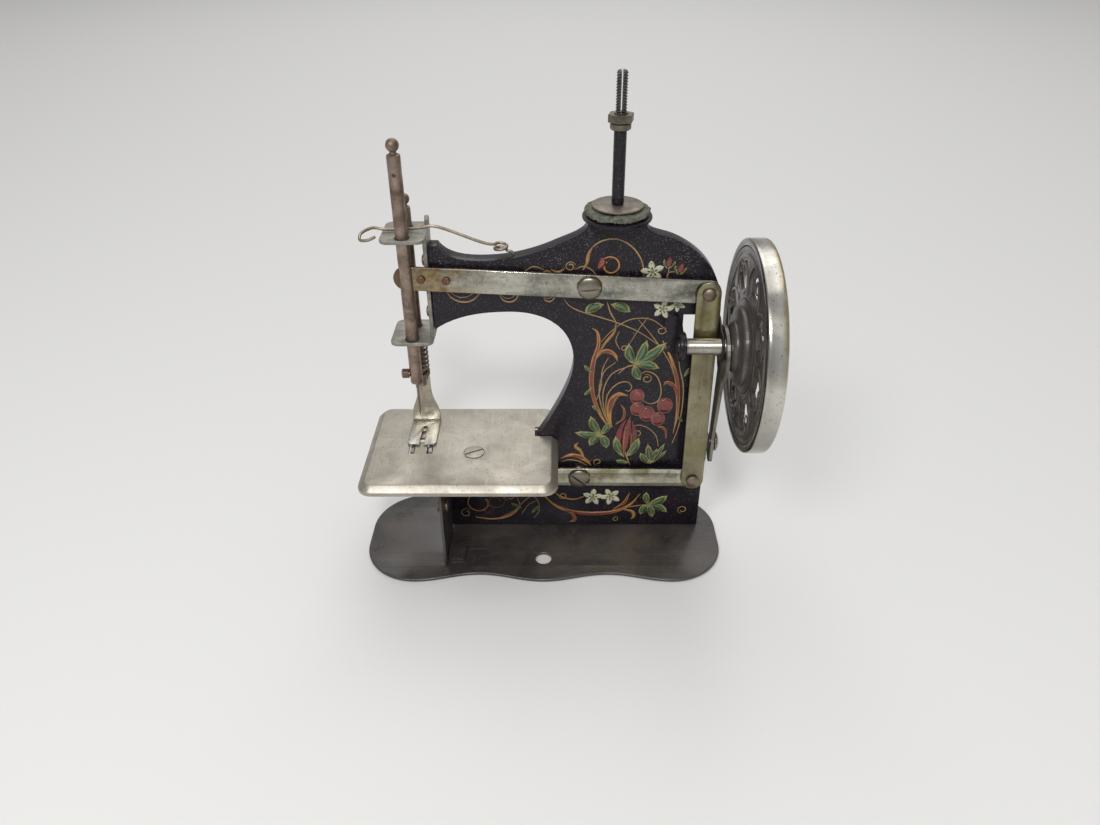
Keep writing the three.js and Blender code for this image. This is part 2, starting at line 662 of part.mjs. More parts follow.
class Helix extends THREE.Curve {
  constructor(x, y, from, to, r, turnsCount, start = 0) {
    super();
    Object.assign(this, { x, y, from, to, r, turnsCount, start });
  }
  getPoint(t, target = new THREE.Vector3()) {
    const a = this.start + t * this.turnsCount * Math.PI * 2;
    return target.set(this.x + this.r * Math.cos(a), this.y + this.r * Math.sin(a), this.from + (this.to - this.from) * t);
  }
}

function wireAlong(curve, r, sides, steps) {
  const section = new THREE.Shape();
  for (let i = 0; i < sides; i++) {
    const a = (i / sides) * Math.PI * 2;
    if (i === 0) section.moveTo(r, 0);
    else section.lineTo(r * Math.cos(a), r * Math.sin(a));
  }
  section.closePath();
  const g = new THREE.ExtrudeGeometry(section, { extrudePath: curve, steps, bevelEnabled: false, curveSegments: 1 });
  const made = solid(g);
  return made;
}

const collarBottom = shankTop + gap;
const collarTop = collarBottom + spring.collarH;
const springTop = z(bracket.lugBottom) - bracket.thick / 2 - gap - spring.wireR;
add(
  "presser_collar",
  ring3(presserBar.r + gap, presserBar.r + 1.5, "z", [bars.x, yBody(bars.presserY), 0], collarBottom, collarTop, 20),
  brownSteel,
);
add(
  "presser_spring",
  wireAlong(
    new Helix(bars.x, yBody(bars.presserY), collarTop + gap + spring.wireR, springTop, spring.r, spring.turns),
    spring.wireR,
    5,
    spring.turns * 9,
  ),
  brownSteel,
);

// ---- needle lever ----
const leverHole = (x, height, r) => rod3(r + gap, "y", [x, 0, height], -(leverBack + 1), -(leverFront - 1), 14);
function leverSolid(left, right, width) {
  return slab(stripShape(left.x, left.z, right.x, right.z, width), "y", leverFront, leverBack, 7);
}
const leverPivot = { x: lever.pivotX, z: z(lever.pivotZ) };
const leverLean = Math.atan2(leverEnd.z - leverPivot.z, leverPivot.x - leverEnd.x);
const alongLever = (distance) => ({
  x: leverEnd.x + distance * Math.cos(leverLean),
  z: leverEnd.z - distance * Math.sin(leverLean),
});
const guideRivets = [alongLever(5.4), alongLever(14.6)];
add(
  "needle_lever",
  cut(
    leverSolid(leverEnd, topRivet, lever.width),
    leverHole(leverPivot.x, leverPivot.z, pivotScrew.shankR),
    leverHole(topRivet.x, topRivet.z, rivet.shankR),
    ...guideRivets.map((p) => leverHole(p.x, p.z, 0.9)),
  ),
  dullNickel,
);
guideRivets.forEach((p, i) => {
  add(
    `lever_rivet_${i + 1}`,
    join(
      rod3(0.9, "y", [p.x, 0, p.z], -(leverBack + gap + 0.1), -(leverFront - gap - 0.1), 12),
      dome(1.5, 0.7, "y", [p.x, 0, p.z], -(leverFront - gap), 1, 16),
      dome(1.5, 0.6, "y", [p.x, 0, p.z], -(leverBack + gap), -1, 16),
    ),
    brownSteel,
  );
});

// A fixed pivot: a slotted dome-head screw through the lever and a spacer sleeve into the body.
function pivotSet(name, pivot) {
  const head = -(leverFront - gap);
  add(
    `${name}_pivot_screw`,
    cut(
      join(
        rod3(pivotScrew.shankR, "y", [pivot.x, 0, pivot.z], -(bodyFront + sheet + 2), head + 0.2, 12),
        dome(pivotScrew.headR, pivotScrew.headH, "y", [pivot.x, 0, pivot.z], head, 1, 18),
      ),
      box(pivot.x - 6, pivot.x + 6, leverFront - gap - 4, leverFront - gap - pivotScrew.headH + 0.9, pivot.z - 0.5, pivot.z + 0.5),
    ),
    dullNickel,
  );
  add(
    `${name}_pivot_spacer`,
    ring3(pivotScrew.shankR + gap, pivotScrew.spacerR, "y", [pivot.x, 0, pivot.z], -(bodyFront - gap), -(leverBack + gap), 16),
    dullNickel,
  );
}
pivotSet("needle_lever", leverPivot);

// ---- lower lever ----
const lowPivot = { x: lowerLever.pivotX, z: z(lowerLever.pivotZ) };
const lowEnd = {
  x: lowPivot.x - lowerLever.leftArm * Math.cos(lowTiltRad),
  z: lowPivot.z + lowerLever.leftArm * Math.sin(lowTiltRad),
};
add(
  "lower_lever",
  cut(
    leverSolid(lowEnd, bottomRivet, lowerLever.width),
    leverHole(lowPivot.x, lowPivot.z, pivotScrew.shankR),
    leverHole(bottomRivet.x, bottomRivet.z, rivet.shankR + 0.5),
  ),
  dullNickel,
);
pivotSet("lower_lever", lowPivot);

// ---- vertical link with the tab that the connecting rod bears on ----
function linkSolid() {
  const strip = slab(stripShape(bottomRivet.x, bottomRivet.z, topRivet.x, topRivet.z, link.width), "y", linkFront, linkBack, 7);
  const lean = (topRivet.x - bottomRivet.x) / (topRivet.z - bottomRivet.z);
  const middle = z((link.tabLow + link.tabHigh) / 2);
  const edge = bottomRivet.x + lean * (middle - bottomRivet.z) + link.width / 2;
  const tabSide = roundedRect(linkFront, bodyFront - 0.6, z(link.tabLow), z(link.tabHigh), 1.2);
  return join(strip, slab(tabSide, "x", edge - link.thick + 0.3, edge + 0.3, 5));
}
const linkHole = (p) => rod3(rivet.shankR + gap, "y", [p.x, 0, p.z], -(linkBack + 1), -(linkFront - 1), 14);
add("vertical_link", cut(linkSolid(), linkHole(topRivet), linkHole(bottomRivet)), dullNickel);
[["link_top_rivet", topRivet], ["link_bottom_rivet", bottomRivet]].forEach(([name, p]) => {
  add(
    name,
    join(
      rod3(rivet.shankR, "y", [p.x, 0, p.z], -(leverBack + gap + 0.2), -(linkFront - gap - 0.2), 12),
      dome(rivet.headR, rivet.headH, "y", [p.x, 0, p.z], -(linkFront - gap), 1, 16),
      dome(rivet.headR, 0.9, "y", [p.x, 0, p.z], -(leverBack + gap), -1, 14),
    ),
    dullNickel,
  );
});

// ---- main shaft, eccentric and connecting rod ----
const wheelAxis = [0, shaftY, shaftZ];
const nutFrom = wheel.outer - 1.2;
const shaftEnd = nutFrom + 3.6;
add(
  "main_shaft",
  turned(
    [[0, shaft.left], [shaft.r - 0.5, shaft.left], [shaft.r, shaft.left + 0.5], [shaft.r, nutFrom - gap],
      [shaft.r - 0.9, nutFrom - gap], [shaft.r - 0.9, shaftEnd], [0, shaftEnd]],
    "x",
    wheelAxis,
    28,
  ),
  nickel,
);
add(
  "eccentric",
  cut(
    rod3(eccentricR, "x", [0, eccentricY, eccentricZ], eccentric.left, eccentric.left + eccentric.thick, 32),
    rod3(shaft.r + gap, "x", wheelAxis, eccentric.left - 1, eccentric.left + eccentric.thick + 1, 28),
  ),
  darkCast,
);
const rodPivot = { y: yBody(rod.pivotY), z: z(rod.pivotZ) };
function connectingRod() {
  const ringR = eccentricR + gap + rod.wall;
  const leg2 = new THREE.Shape();
  const half = rod.neckWidth / 2;
  leg2.moveTo(rodPivot.y - half, rodPivot.z);
  leg2.lineTo(rodPivot.y + half, rodPivot.z);
  leg2.lineTo(eccentricY + half * 1.9, eccentricZ - ringR * 0.75);
  leg2.lineTo(eccentricY - half * 1.9, eccentricZ - ringR * 0.75);
  leg2.closePath();
  const tail = stripShape(rodPivot.y, rodPivot.z - 6, rodPivot.y, rodPivot.z, rod.footR * 2);
  return cut(
    join(
      rod3(ringR, "x", [0, eccentricY, eccentricZ], rodLeft, rodRight, 32),
      slab(leg2, "x", rodLeft, rodRight, 4),
      slab(tail, "x", rodLeft, rodRight, 8),
    ),
    rod3(eccentricR + gap, "x", [0, eccentricY, eccentricZ], rodLeft - 1, rodRight + 1, 32),
    rod3(1.4 + gap, "x", [0, rodPivot.y, rodPivot.z], rodLeft - 1, rodRight + 1, 16),
  );
}
add("connecting_rod", connectingRod(), dullNickel);
add(
  "rod_pivot_screw",
  cut(
    join(
      rod3(1.4, "x", [0, rodPivot.y, rodPivot.z], rodLeft - gap, rodRight + gap + 0.2, 16),
      dome(rod.headR, rod.headH, "x", [0, rodPivot.y, rodPivot.z], rodRight + gap, 1, 24),
    ),
    box(rodRight + gap + rod.headH - 0.8, rodRight + 9, rodPivot.y - 8, rodPivot.y + 8, rodPivot.z - 0.5, rodPivot.z + 0.5),
  ),
  dullNickel,
);

// ---- handwheel ----
const rimInner = wheel.r - wheel.rimWall;
add(
  "wheel_rim",
  turned(
    [[rimInner, wheel.inner + 0.3], [rimInner + 0.4, wheel.inner], [wheel.r - 0.8, wheel.inner], [wheel.r - 0.2, wheel.inner + 0.5],
      [wheel.r, wheel.inner + 1.4], [wheel.r, wheel.outer - 1.4], [wheel.r - 0.2, wheel.outer - 0.5], [wheel.r - 0.8, wheel.outer],
      [rimInner + 0.4, wheel.outer], [rimInner, wheel.outer - 0.3]],
    "x",
    wheelAxis,
    48,
  ),
  nickel,
);
function wheelWeb() {
  const outerR = rimInner - gap;
  const disc = ring3(wheel.hubR + gap, outerR, "x", wheelAxis, wheel.webX, wheel.webX + wheel.web, 48);
  const band = ring3(outerR - 1.8, outerR, "x", wheelAxis, wheel.webX, wheel.outer - 2, 48);
  const holes = [];
  for (let i = 0; i < wheelHoles.count; i++) {
    const at = (i / wheelHoles.count) * Math.PI * 2 + 0.2;
    const half = THREE.MathUtils.degToRad(wheelHoles.halfAngle);
    const shape = new THREE.Shape();
    shape.absarc(shaftY, shaftZ, wheelHoles.outer, at - half, at + half, false);
    shape.absarc(shaftY, shaftZ, wheelHoles.inner, at + half * 0.7, at - half * 0.7, true);
    shape.closePath();
    holes.push(slab(shape, "x", wheel.webX - 1, wheel.webX + wheel.web + 1, 3));
  }
  return cut(join(disc, band), ...holes);
}
add("wheel_web", wheelWeb(), darkCast);
const hubLeft = eccentric.left + eccentric.thick + gap;
add(
  "wheel_hub",
  turned(
    [[shaft.r + gap, hubLeft], [wheel.noseR - 1.2, hubLeft], [wheel.noseR, hubLeft + 1], [wheel.noseR, hubLeft + 1.8],
      [wheel.stepR - 1, hubLeft + 2.6], [wheel.stepR, hubLeft + 3.4], [wheel.stepR, wheel.webX - 1], [wheel.hubR, wheel.webX - 0.6],
      [wheel.hubR, wheel.webX + wheel.web], [8.5, wheel.webX + wheel.web + 1], [8, nutFrom - gap], [shaft.r + gap, nutFrom - gap]],
    "x",
    wheelAxis,
    32,
  ),
  darkCast,
);
function hexShape(cx, cy, acrossFlats) {
  const r = acrossFlats / Math.sqrt(3);
  const shape = new THREE.Shape();
  for (let i = 0; i < 6; i++) {
    const a = (i / 6) * Math.PI * 2 + 0.3;
    const p = [cx + r * Math.cos(a), cy + r * Math.sin(a)];
    if (i === 0) shape.moveTo(...p);
    else shape.lineTo(...p);
  }
  shape.closePath();
  return shape;
}
add(
  "wheel_nut",
  cut(
    slab(hexShape(shaftY, shaftZ, 9), "x", nutFrom, nutFrom + 3),
    rod3(shaft.r - 0.9 + gap, "x", wheelAxis, nutFrom - 1, nutFrom + 5, 20),
  ),
  nickel,
);

// ---- thread guide wire ----
const lugTopFace = z(bracket.lugTop) + bracket.thick / 2;
const wireZ = lugTopFace + gap + wire.r;
const between = yBody((bars.needleY + needleBar.r + bars.presserY - presserBar.r) / 2);
function guideWire() {
  const points = [
    new THREE.Vector3(wireX, spindleY, wireAnchorZ - 3),
    new THREE.Vector3(wireX, spindleY, wireAnchorZ - 0.5),
    new THREE.Vector3(wireX - 0.6, spindleY, wireAnchorZ + 1),
  ];
  const coilX = wireX - 4.6;
  const perTurn = 8;
  const count = Math.round(wire.coilTurns * perTurn);
  for (let i = 0; i <= count; i++) {
    const a = (i / perTurn) * Math.PI * 2;
    points.push(
      new THREE.Vector3(
        coilX + wire.coilR * Math.cos(a),
        spindleY + wire.coilR * Math.sin(a),
        wireAnchorZ + 1.6 + (i / perTurn) * wire.coilPitch,
      ),
    );
  }
  const out = points[points.length - 1];
  points.push(
    new THREE.Vector3(out.x - 5, spindleY - 0.6, out.z + 1.2),
    new THREE.Vector3(bracketRight + 4, between + 0.3, wireZ - 0.4 + 1.2),
    new THREE.Vector3(bracketLeft - 1, between, wireZ + 0.6),
    new THREE.Vector3(bars.x, between, wireZ + 0.2),
    new THREE.Vector3(bracket.lugLeft + 1, between - 0.2, wireZ + 0.2),
    new THREE.Vector3(bracket.lugLeft - 3, between - 0.8, wireZ + 0.9),
    new THREE.Vector3(bracket.lugLeft - 6.6, between - 3.6, wireZ),
    new THREE.Vector3(bracket.lugLeft - 6.4, between - 7.6, wireZ - 1),
    new THREE.Vector3(bracket.lugLeft - 3.4, between - 8.8, wireZ - 0.6),
    new THREE.Vector3(bracket.lugLeft - 0.9, between - 7.6, wireZ + 0.2),
  );
  return wireAlong(new THREE.CatmullRomCurve3(points, false, "centripetal"), wire.r, 6, 76);
}
add("thread_guide_wire", guideWire(), brownSteel);

// ---- spool spindle ----
const spindleAt = [spindle.x, spindleY, 0];
add("spindle_disc", ring3(spindle.tailR + gap, discR, "z", spindleAt, discBottom, discBottom + discH, 32), black);
add("spindle_felt", ring3(spindle.tailR + gap, feltR, "z", spindleAt, feltBottom, feltBottom + feltH, 32), felt);
add("spindle_washer", ring3(spindle.tailR + gap, washerR, "z", spindleAt, washerBottom, washerBottom + washerH, 28), brownSteel);
const rodTop = neckTop + spindle.rodHeight;
const collarTopZ = rodTop + gap + collarNut.h;
const hexTopZ = collarTopZ + gap + hexNut.h;
const studBottom = rodTop - 4;
add(
  "spindle_rod",
  cut(
    turned(
      [[0, neckTop - spindle.tailLength], [spindle.tailR, neckTop - spindle.tailLength], [spindle.tailR, rodBottom],
        [spindle.rodR, rodBottom], [spindle.rodR, rodTop], [0, rodTop]],
      "z",
      spindleAt,
      24,
    ),
    rod3(stud.r - 0.7 + gap, "z", spindleAt, studBottom - gap, rodTop + 1, 20),
  ),
  black,
);
add(
  "spindle_collar_nut",
  turned(
    [[stud.r + gap, rodTop + gap], [collarNut.r - 0.5, rodTop + gap], [collarNut.r, rodTop + gap + 0.5],
      [collarNut.r, collarTopZ - 0.4], [collarNut.r - 0.4, collarTopZ], [stud.r + gap, collarTopZ]],
    "z",
    spindleAt,
    28,
  ),
  brass,
);
add(
  "spindle_hex_nut",
  cut(
    slab(hexShape(spindle.x, spindleY, hexNut.acrossFlats), "z", collarTopZ + gap, hexTopZ),
    rod3(stud.r + gap, "z", spindleAt, collarTopZ - 1, hexTopZ + 1, 24),
  ),
  brass,
);
const studTop = neckTop + stud.height;
add(
  "split_stud",
  cut(
    turned(
      [[0, studBottom], [stud.r - 0.7, studBottom], [stud.r - 0.7, rodTop + gap], [stud.r, rodTop + gap + 0.6],
        [stud.r, studTop - 0.6], [stud.r - 0.4, studTop], [0, studTop]],
      "z",
      spindleAt,
      24,
    ),
    box(spindle.x - stud.slit / 2, spindle.x + stud.slit / 2, spindleY - 5, spindleY + 5, studTop - stud.slitDepth, studTop + 1),
  ),
  brownSteel,
);

// ---- feed bar and looper, under the cloth plate ----
const toothTop = plateTop - gap;
function feedBar() {
  const bar = box(feed.left, feed.right, feedFront, feedBack, z(feed.bottom), z(feed.top));
  const rows = [-1, 1].map((side) => {
    const x = bars.x + side * feed.toothX;
    const teeth = new THREE.Shape();
    const count = 6;
    const pitch = feed.width / count;
    teeth.moveTo(feedFront, z(feed.top) - 0.4);
    teeth.lineTo(feedBack, z(feed.top) - 0.4);
    for (let i = 0; i < count; i++) {
      teeth.lineTo(feedBack - i * pitch, toothTop - 0.5);
      teeth.lineTo(feedBack - (i + 0.7) * pitch, toothTop);
    }
    teeth.lineTo(feedFront, toothTop - 0.5);
    teeth.closePath();
    return slab(teeth, "x", x - feed.toothWidth / 2, x + feed.toothWidth / 2);
  });
  return cut(join(bar, ...rows), rod3(needleHoleR, "z", [bars.x, yBody(bars.needleY), 0], z(feed.bottom) - 2, plateTop, 20));
}
add("feed_bar", feedBar(), dullNickel);

const looperRight = leg.x - gap;
const looperLeft = looperRight - looper.thick;
const looperTip = { y: yBody(looper.tipY), z: z(looper.tipZ) };
add(
  "looper",
  cut(
    join(
      slab(stripShape(looperPinY, looperPinZ, looperTip.y, looperTip.z, looper.width * 0.6), "x", looperLeft, looperRight, 8),
      rod3(looper.width / 2 + 0.6, "x", [0, looperPinY, looperPinZ], looperLeft, looperRight, 20),
      rod3(looper.hookR, "x", [0, looperTip.y, looperTip.z], looper.hookX, looperLeft + 0.3, 12),
    ),
    rod3(looper.pinR + gap, "x", [0, looperPinY, looperPinZ], looperLeft - 1, looperRight + 1, 16),
  ),
  brownSteel,
);
add(
  "looper_pin",
  join(
    rod3(looper.pinR, "x", [0, looperPinY, looperPinZ], looperLeft - gap - 0.2, legRight + gap + 0.2, 16),
    dome(2.6, 1.2, "x", [0, looperPinY, looperPinZ], looperLeft - gap, -1, 20),
    dome(2.4, 1, "x", [0, looperPinY, looperPinZ], legRight + gap, 1, 20),
  ),
  brownSteel,
);

export default parts;
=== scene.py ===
import math

import bpy
from mathutils import Matrix, Vector


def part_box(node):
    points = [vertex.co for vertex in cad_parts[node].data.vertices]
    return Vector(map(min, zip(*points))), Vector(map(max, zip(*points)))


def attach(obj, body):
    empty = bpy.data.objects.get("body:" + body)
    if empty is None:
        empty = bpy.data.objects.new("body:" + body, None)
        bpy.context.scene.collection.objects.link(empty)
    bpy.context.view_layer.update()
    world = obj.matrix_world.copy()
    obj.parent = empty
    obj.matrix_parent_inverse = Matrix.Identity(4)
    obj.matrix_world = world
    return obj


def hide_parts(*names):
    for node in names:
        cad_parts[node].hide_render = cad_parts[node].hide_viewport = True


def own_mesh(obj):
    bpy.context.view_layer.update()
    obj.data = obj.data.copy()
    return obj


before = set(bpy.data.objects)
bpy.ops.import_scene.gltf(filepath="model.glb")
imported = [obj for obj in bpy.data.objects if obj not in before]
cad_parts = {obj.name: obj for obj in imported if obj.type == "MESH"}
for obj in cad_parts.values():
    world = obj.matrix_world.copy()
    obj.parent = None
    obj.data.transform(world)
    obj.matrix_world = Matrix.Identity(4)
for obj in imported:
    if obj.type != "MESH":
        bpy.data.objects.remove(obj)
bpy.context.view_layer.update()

MM = 0.001


# ---------------------------------------------------------------- where things are, in millimetres
def span(node):
    """A node's box at rest in millimetres: (x0, x1), (y0, y1), (z0, z1)."""
    low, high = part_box(node)
    return tuple((low[i] / MM, high[i] / MM) for i in range(3))


def middle(pair):
    return (pair[0] + pair[1]) / 2


BASE = span("base_plate")
FRONT = span("body_front_shell")
PLATE = span("cloth_plate")
NEEDLE_BAR = span("needle_bar")
RIM = span("wheel_rim")
SHAFT = span("main_shaft")
FACE_BACK = span("body_back_shell")[1][1]
FACE = FACE_BACK - 6.0
AXLE = (0, middle(SHAFT[1]), middle(SHAFT[2]))
FOOT_Z = BASE[2][1]
NECK = FRONT[2][1]
PLATE_TOP = PLATE[2][1]
GAP = 0.3


def h(height):
    """Height above the top of the base."""
    return FOOT_Z + height


LUG_TOP, LUG_LOW = h(134.3), h(93.9)
TOP_PIVOT, LOW_PIVOT = (17.8, h(116)), (15.1, h(29))
BAR_X = middle(NEEDLE_BAR[0])
NEEDLE_Y, PRESSER_Y = 3.3, 14.8
PLATE_SCREW = (-27.4, -5.5, 0)


# ---------------------------------------------------------------- mesh helpers
def deselect():
    if bpy.context.object and bpy.context.object.mode != "OBJECT":
        bpy.ops.object.mode_set(mode="OBJECT")
    bpy.ops.object.select_all(action="DESELECT")


def only(obj):
    deselect()
    obj.select_set(True)
    bpy.context.view_layer.objects.active = obj


def edit(obj):
    """Opens a piece for editing, all of it selected."""
    only(obj)
    bpy.ops.object.mode_set(mode="EDIT")
    bpy.ops.mesh.select_all(action="SELECT")


def close():
    bpy.ops.object.mode_set(mode="OBJECT")


def settle(obj, angle=35):
    """Applies the object's place, closes seams, turns faces outwards and smooths soft edges."""
    only(obj)
    bpy.ops.object.transform_apply(location=True, rotation=True, scale=True)
    edit(obj)
    bpy.ops.mesh.remove_doubles(threshold=2e-6)
    bpy.ops.mesh.normals_make_consistent(inside=False)
    close()
    bpy.ops.object.shade_smooth_by_angle(angle=math.radians(angle))
    return obj


def modified(obj, kind, **settings):
    """Puts a modifier on a piece and applies it."""
    only(obj)
    mod = obj.modifiers.new(kind.lower(), kind)
    for key, value in settings.items():
        setattr(mod, key, value)
    bpy.ops.object.modifier_apply(modifier=mod.name)


def bevelled(obj, width, segments, angle):
    modified(
        obj, "BEVEL", width=width * MM, segments=segments, limit_method="ANGLE", angle_limit=math.radians(angle)
    )


def cut(obj, tool, operation="DIFFERENCE"):
    modified(obj, "BOOLEAN", operation=operation, solver="EXACT", object=tool)
    only(tool)
    bpy.ops.object.delete()


def carve(obj, *tools):
    """Cuts the tools out of a piece and takes the tools away."""
    for tool in tools:
        cut(obj, tool)
    return settle(obj)


def joined(name, *objs):
    deselect()
    for o in objs:
        o.select_set(True)
    bpy.context.view_layer.objects.active = objs[0]
    bpy.ops.object.join()
    obj = bpy.context.object
    obj.name = name
    return obj


def along(axis, distance):
    v = Vector((0, 0, 0))
    v["xyz".index(axis)] = distance * MM
    return v


def steps_from(start, *steps):
    """Turning steps (radius, distance) counted from a start on the axis."""
    return [(r, start + t) for r, t in steps]


TURN = {
    "x": (0, math.radians(90), 0),
    "y": (math.radians(-90), 0, 0),
    "z": (0, 0, 0),
}


def turned(name, profile, axis, centre, sides=48, angle=35):
    """A lathe-turned piece: a ring is drawn out and widened or narrowed from one step to the next."""
    deselect()
    base = Vector(centre) * MM
    base["xyz".index(axis)] = 0
    hollow = profile[0][0] > 0 and profile[-1][0] > 0
    steps = profile[1:] if profile[0][0] <= 0 else profile
    r, t = steps[0]
    bpy.ops.mesh.primitive_circle_add(
        vertices=sides,
        radius=r * MM,
        fill_type="NOTHING" if hollow else "NGON",
        location=base + along(axis, t),
        rotation=TURN[axis],
    )
    obj = bpy.context.object
    obj.name = name
    bpy.ops.object.mode_set(mode="EDIT")
    if not hollow:
        if profile[0][1] != t:
            bpy.ops.mesh.poke()
            close()
            tip = min(obj.data.vertices, key=lambda v: v.co.length)
            tip.co = obj.matrix_world.inverted() @ (base + along(axis, profile[0][1]))
            bpy.ops.object.mode_set(mode="EDIT")
        bpy.ops.mesh.select_all(action="DESELECT")
        close()
        for e in obj.data.edges:
            e.select = all(
                abs(obj.data.vertices[i].co.length - r * MM) < r * MM * 0.01 for i in e.vertices
            )
        bpy.ops.object.mode_set(mode="EDIT")
        bpy.ops.mesh.select_mode(type="EDGE")
    for next_r, next_t in steps[1:]:
        bpy.ops.mesh.extrude_edges_move(TRANSFORM_OT_translate={"value": along(axis, next_t - t)})
        if next_r <= 0:
            bpy.ops.mesh.merge(type="CENTER")
            break
        k = next_r / r
        bpy.ops.transform.resize(value=(k, k, k), center_override=base + along(axis, next_t))
        r, t = next_r, next_t
    if hollow:
        bpy.ops.mesh.select_all(action="DESELECT")
        bpy.ops.mesh.select_mode(type="EDGE")
        bpy.ops.mesh.select_non_manifold(extend=False)
        bpy.ops.mesh.bridge_edge_loops()
    close()
    return settle(obj, angle)


PLANES = {
    "xy": Matrix(((1, 0, 0), (0, 1, 0), (0, 0, 1))),
    "xz": Matrix(((1, 0, 0), (0, 0, -1), (0, 1, 0))),
    "yz": Matrix(((0, 0, 1), (1, 0, 0), (0, 1, 0))),
}
NORMALS = {"xy": Vector((0, 0, 1)), "xz": Vector((0, 1, 0)), "yz": Vector((1, 0, 0))}


def round_line(radius, sides):
    """How a curve is drawn to make round wire."""
    return {"dimensions": "3D", "bevel_depth": radius * MM, "bevel_resolution": sides, "use_fill_caps": True}


def drawn(name, splines, closed, settings, radii=None):
    """Splines of points in millimetres, made a mesh where they lie."""
    deselect()
    data = bpy.data.curves.new(name, "CURVE")
    for n, points in enumerate(splines):
        spline = data.splines.new("POLY")
        spline.points.add(len(points) - 1)
        for i, p in enumerate(points):
            spline.points[i].co = (p[0] * MM, p[1] * MM, p[2] * MM if len(p) > 2 else 0, 1)
            spline.points[i].radius = radii[n][i] if radii else 1
        spline.use_cyclic_u = closed
    for key, value in settings.items():
        setattr(data, key, value)
    obj = bpy.data.objects.new(name, data)
    bpy.context.collection.objects.link(obj)
    only(obj)
    bpy.ops.object.convert(target="MESH")
    return bpy.context.object


def placed(obj, plane, at, angle):
    """Lays a piece drawn flat on its plane, that far along the plane's normal."""
    obj.matrix_world = Matrix.Translation(NORMALS[plane] * at * MM) @ PLANES[plane].to_4x4()
    return settle(obj, angle)


def flat(name, outlines, plane, low, high, edge=0.2, angle=35):
    """A plate cut to its outlines, the first one outer and the others holes, with softened edges."""
    settings = {
        "dimensions": "2D",
        "fill_mode": "BOTH",
        "extrude": ((high - low) / 2 - edge) * MM,
        "bevel_depth": edge * MM,
        "bevel_resolution": 2,
        "offset": -edge * MM,
    }
    return placed(drawn(name, outlines, True, settings), plane, middle((low, high)), angle)


def rod_along(name, points, radius):
    """Round wire along 3-D points in millimetres."""
    return placed(drawn(name, [points], False, round_line(radius, 3)), "xy", 0, 60)


def pressed_line(name, strokes, plane, at, sides, angle, flatten, shift=0.0):
    """Tapered round strokes laid on a plane and pressed flatter across it."""
    paths, radii = zip(*strokes)
    obj = placed(drawn(name, paths, False, round_line(1.0, sides), radii), plane, at, angle)
    normal = NORMALS[plane]
    edit(obj)
    scale = [flatten if c else 1 for c in normal]
    bpy.ops.transform.resize(value=scale, center_override=normal * at * MM)
    if shift:
        bpy.ops.transform.translate(value=normal * shift * MM)
    close()
    return obj


def arc(cx, cy, r, start, end, steps=16):
    angles = (math.radians(start + (end - start) * i / steps) for i in range(steps + 1))
    return [(cx + r * math.cos(a), cy + r * math.sin(a)) for a in angles]


def round_hole(x, y, r, sides=28):
    return list(reversed(arc(x, y, r, 0, 360, sides)[:-1]))


def bezier(p0, p1, p2, p3, steps=20):
    out = []
    for i in range(1, steps + 1):
        t = i / steps
        u = 1 - t
        shares = (u**3, 3 * u * u * t, 3 * u * t * t, t**3)
        out.append(tuple(sum(s * p[k] for s, p in zip(shares, (p0, p1, p2, p3))) for k in range(2)))
    return out


def strip(x0, z0, x1, z1, width, steps=20):
    """The outline of a strap with round ends."""
    a = math.degrees(math.atan2(z1 - z0, x1 - x0))
    return arc(x1, z1, width / 2, a - 90, a + 90, steps) + arc(x0, z0, width / 2, a + 90, a + 270, steps)


def rounded(x0, x1, y0, y1, r, steps=8):
    corners = ((x1 - r, y0 + r, -90), (x1 - r, y1 - r, 0), (x0 + r, y1 - r, 90), (x0 + r, y0 + r, 180))
    return [p for x, y, start in corners for p in arc(x, y, r, start, start + 90, steps)]


def block(x0, x1, y0, y1, z0, z1):
    deselect()
    bpy.ops.mesh.primitive_cube_add(
        size=1,
        location=(middle((x0, x1)) * MM, middle((y0, y1)) * MM, middle((z0, z1)) * MM),
        scale=((x1 - x0) * MM, (y1 - y0) * MM, (z1 - z0) * MM),
    )
    bpy.ops.object.transform_apply(location=True, rotation=True, scale=True)
    return bpy.context.object


# ---------------------------------------------------------------- materials
ALONG_X, ALONG_Y, ALONG_Z = (60.0, 900.0, 900.0), (900.0, 60.0, 900.0), (900.0, 900.0, 60.0)
AROUND_X = (900.0, 60.0, 60.0)


def feed(tree, value, socket):
    """Wires a socket to another one, or gives it a plain value."""
    if isinstance(value, bpy.types.NodeSocket):
        tree.links.new(value, socket)
    else:
        socket.default_value = (*value, 1) if socket.type == "RGBA" else value


def node(tree, kind, **values):
    n = tree.nodes.new(kind)
    for key, value in values.items():
        if hasattr(n, key):
            setattr(n, key, value)
        else:
            feed(tree, value, n.inputs[key.replace("_", " ")])
    return n


def maths(tree, operation, a, b, clamp=False):
    n = node(tree, "ShaderNodeMath", operation=operation, use_clamp=clamp)
    feed(tree, a, n.inputs[0])
    feed(tree, b, n.inputs[1])
    return n.outputs[0]


def mixed(tree, factor, a, b):
    n = node(tree, "ShaderNodeMix", data_type="RGBA")
    for i, value in ((0, factor), (6, a), (7, b)):
        feed(tree, value, n.inputs[i])
    return n.outputs[2]


def ranged(tree, value, low, high, to_low=0.0, to_high=1.0):
    n = tree.nodes.new("ShaderNodeMapRange")
    for i, v in enumerate((value, low, high, to_low, to_high)):
        feed(tree, v, n.inputs[i])
    return n.outputs[0]


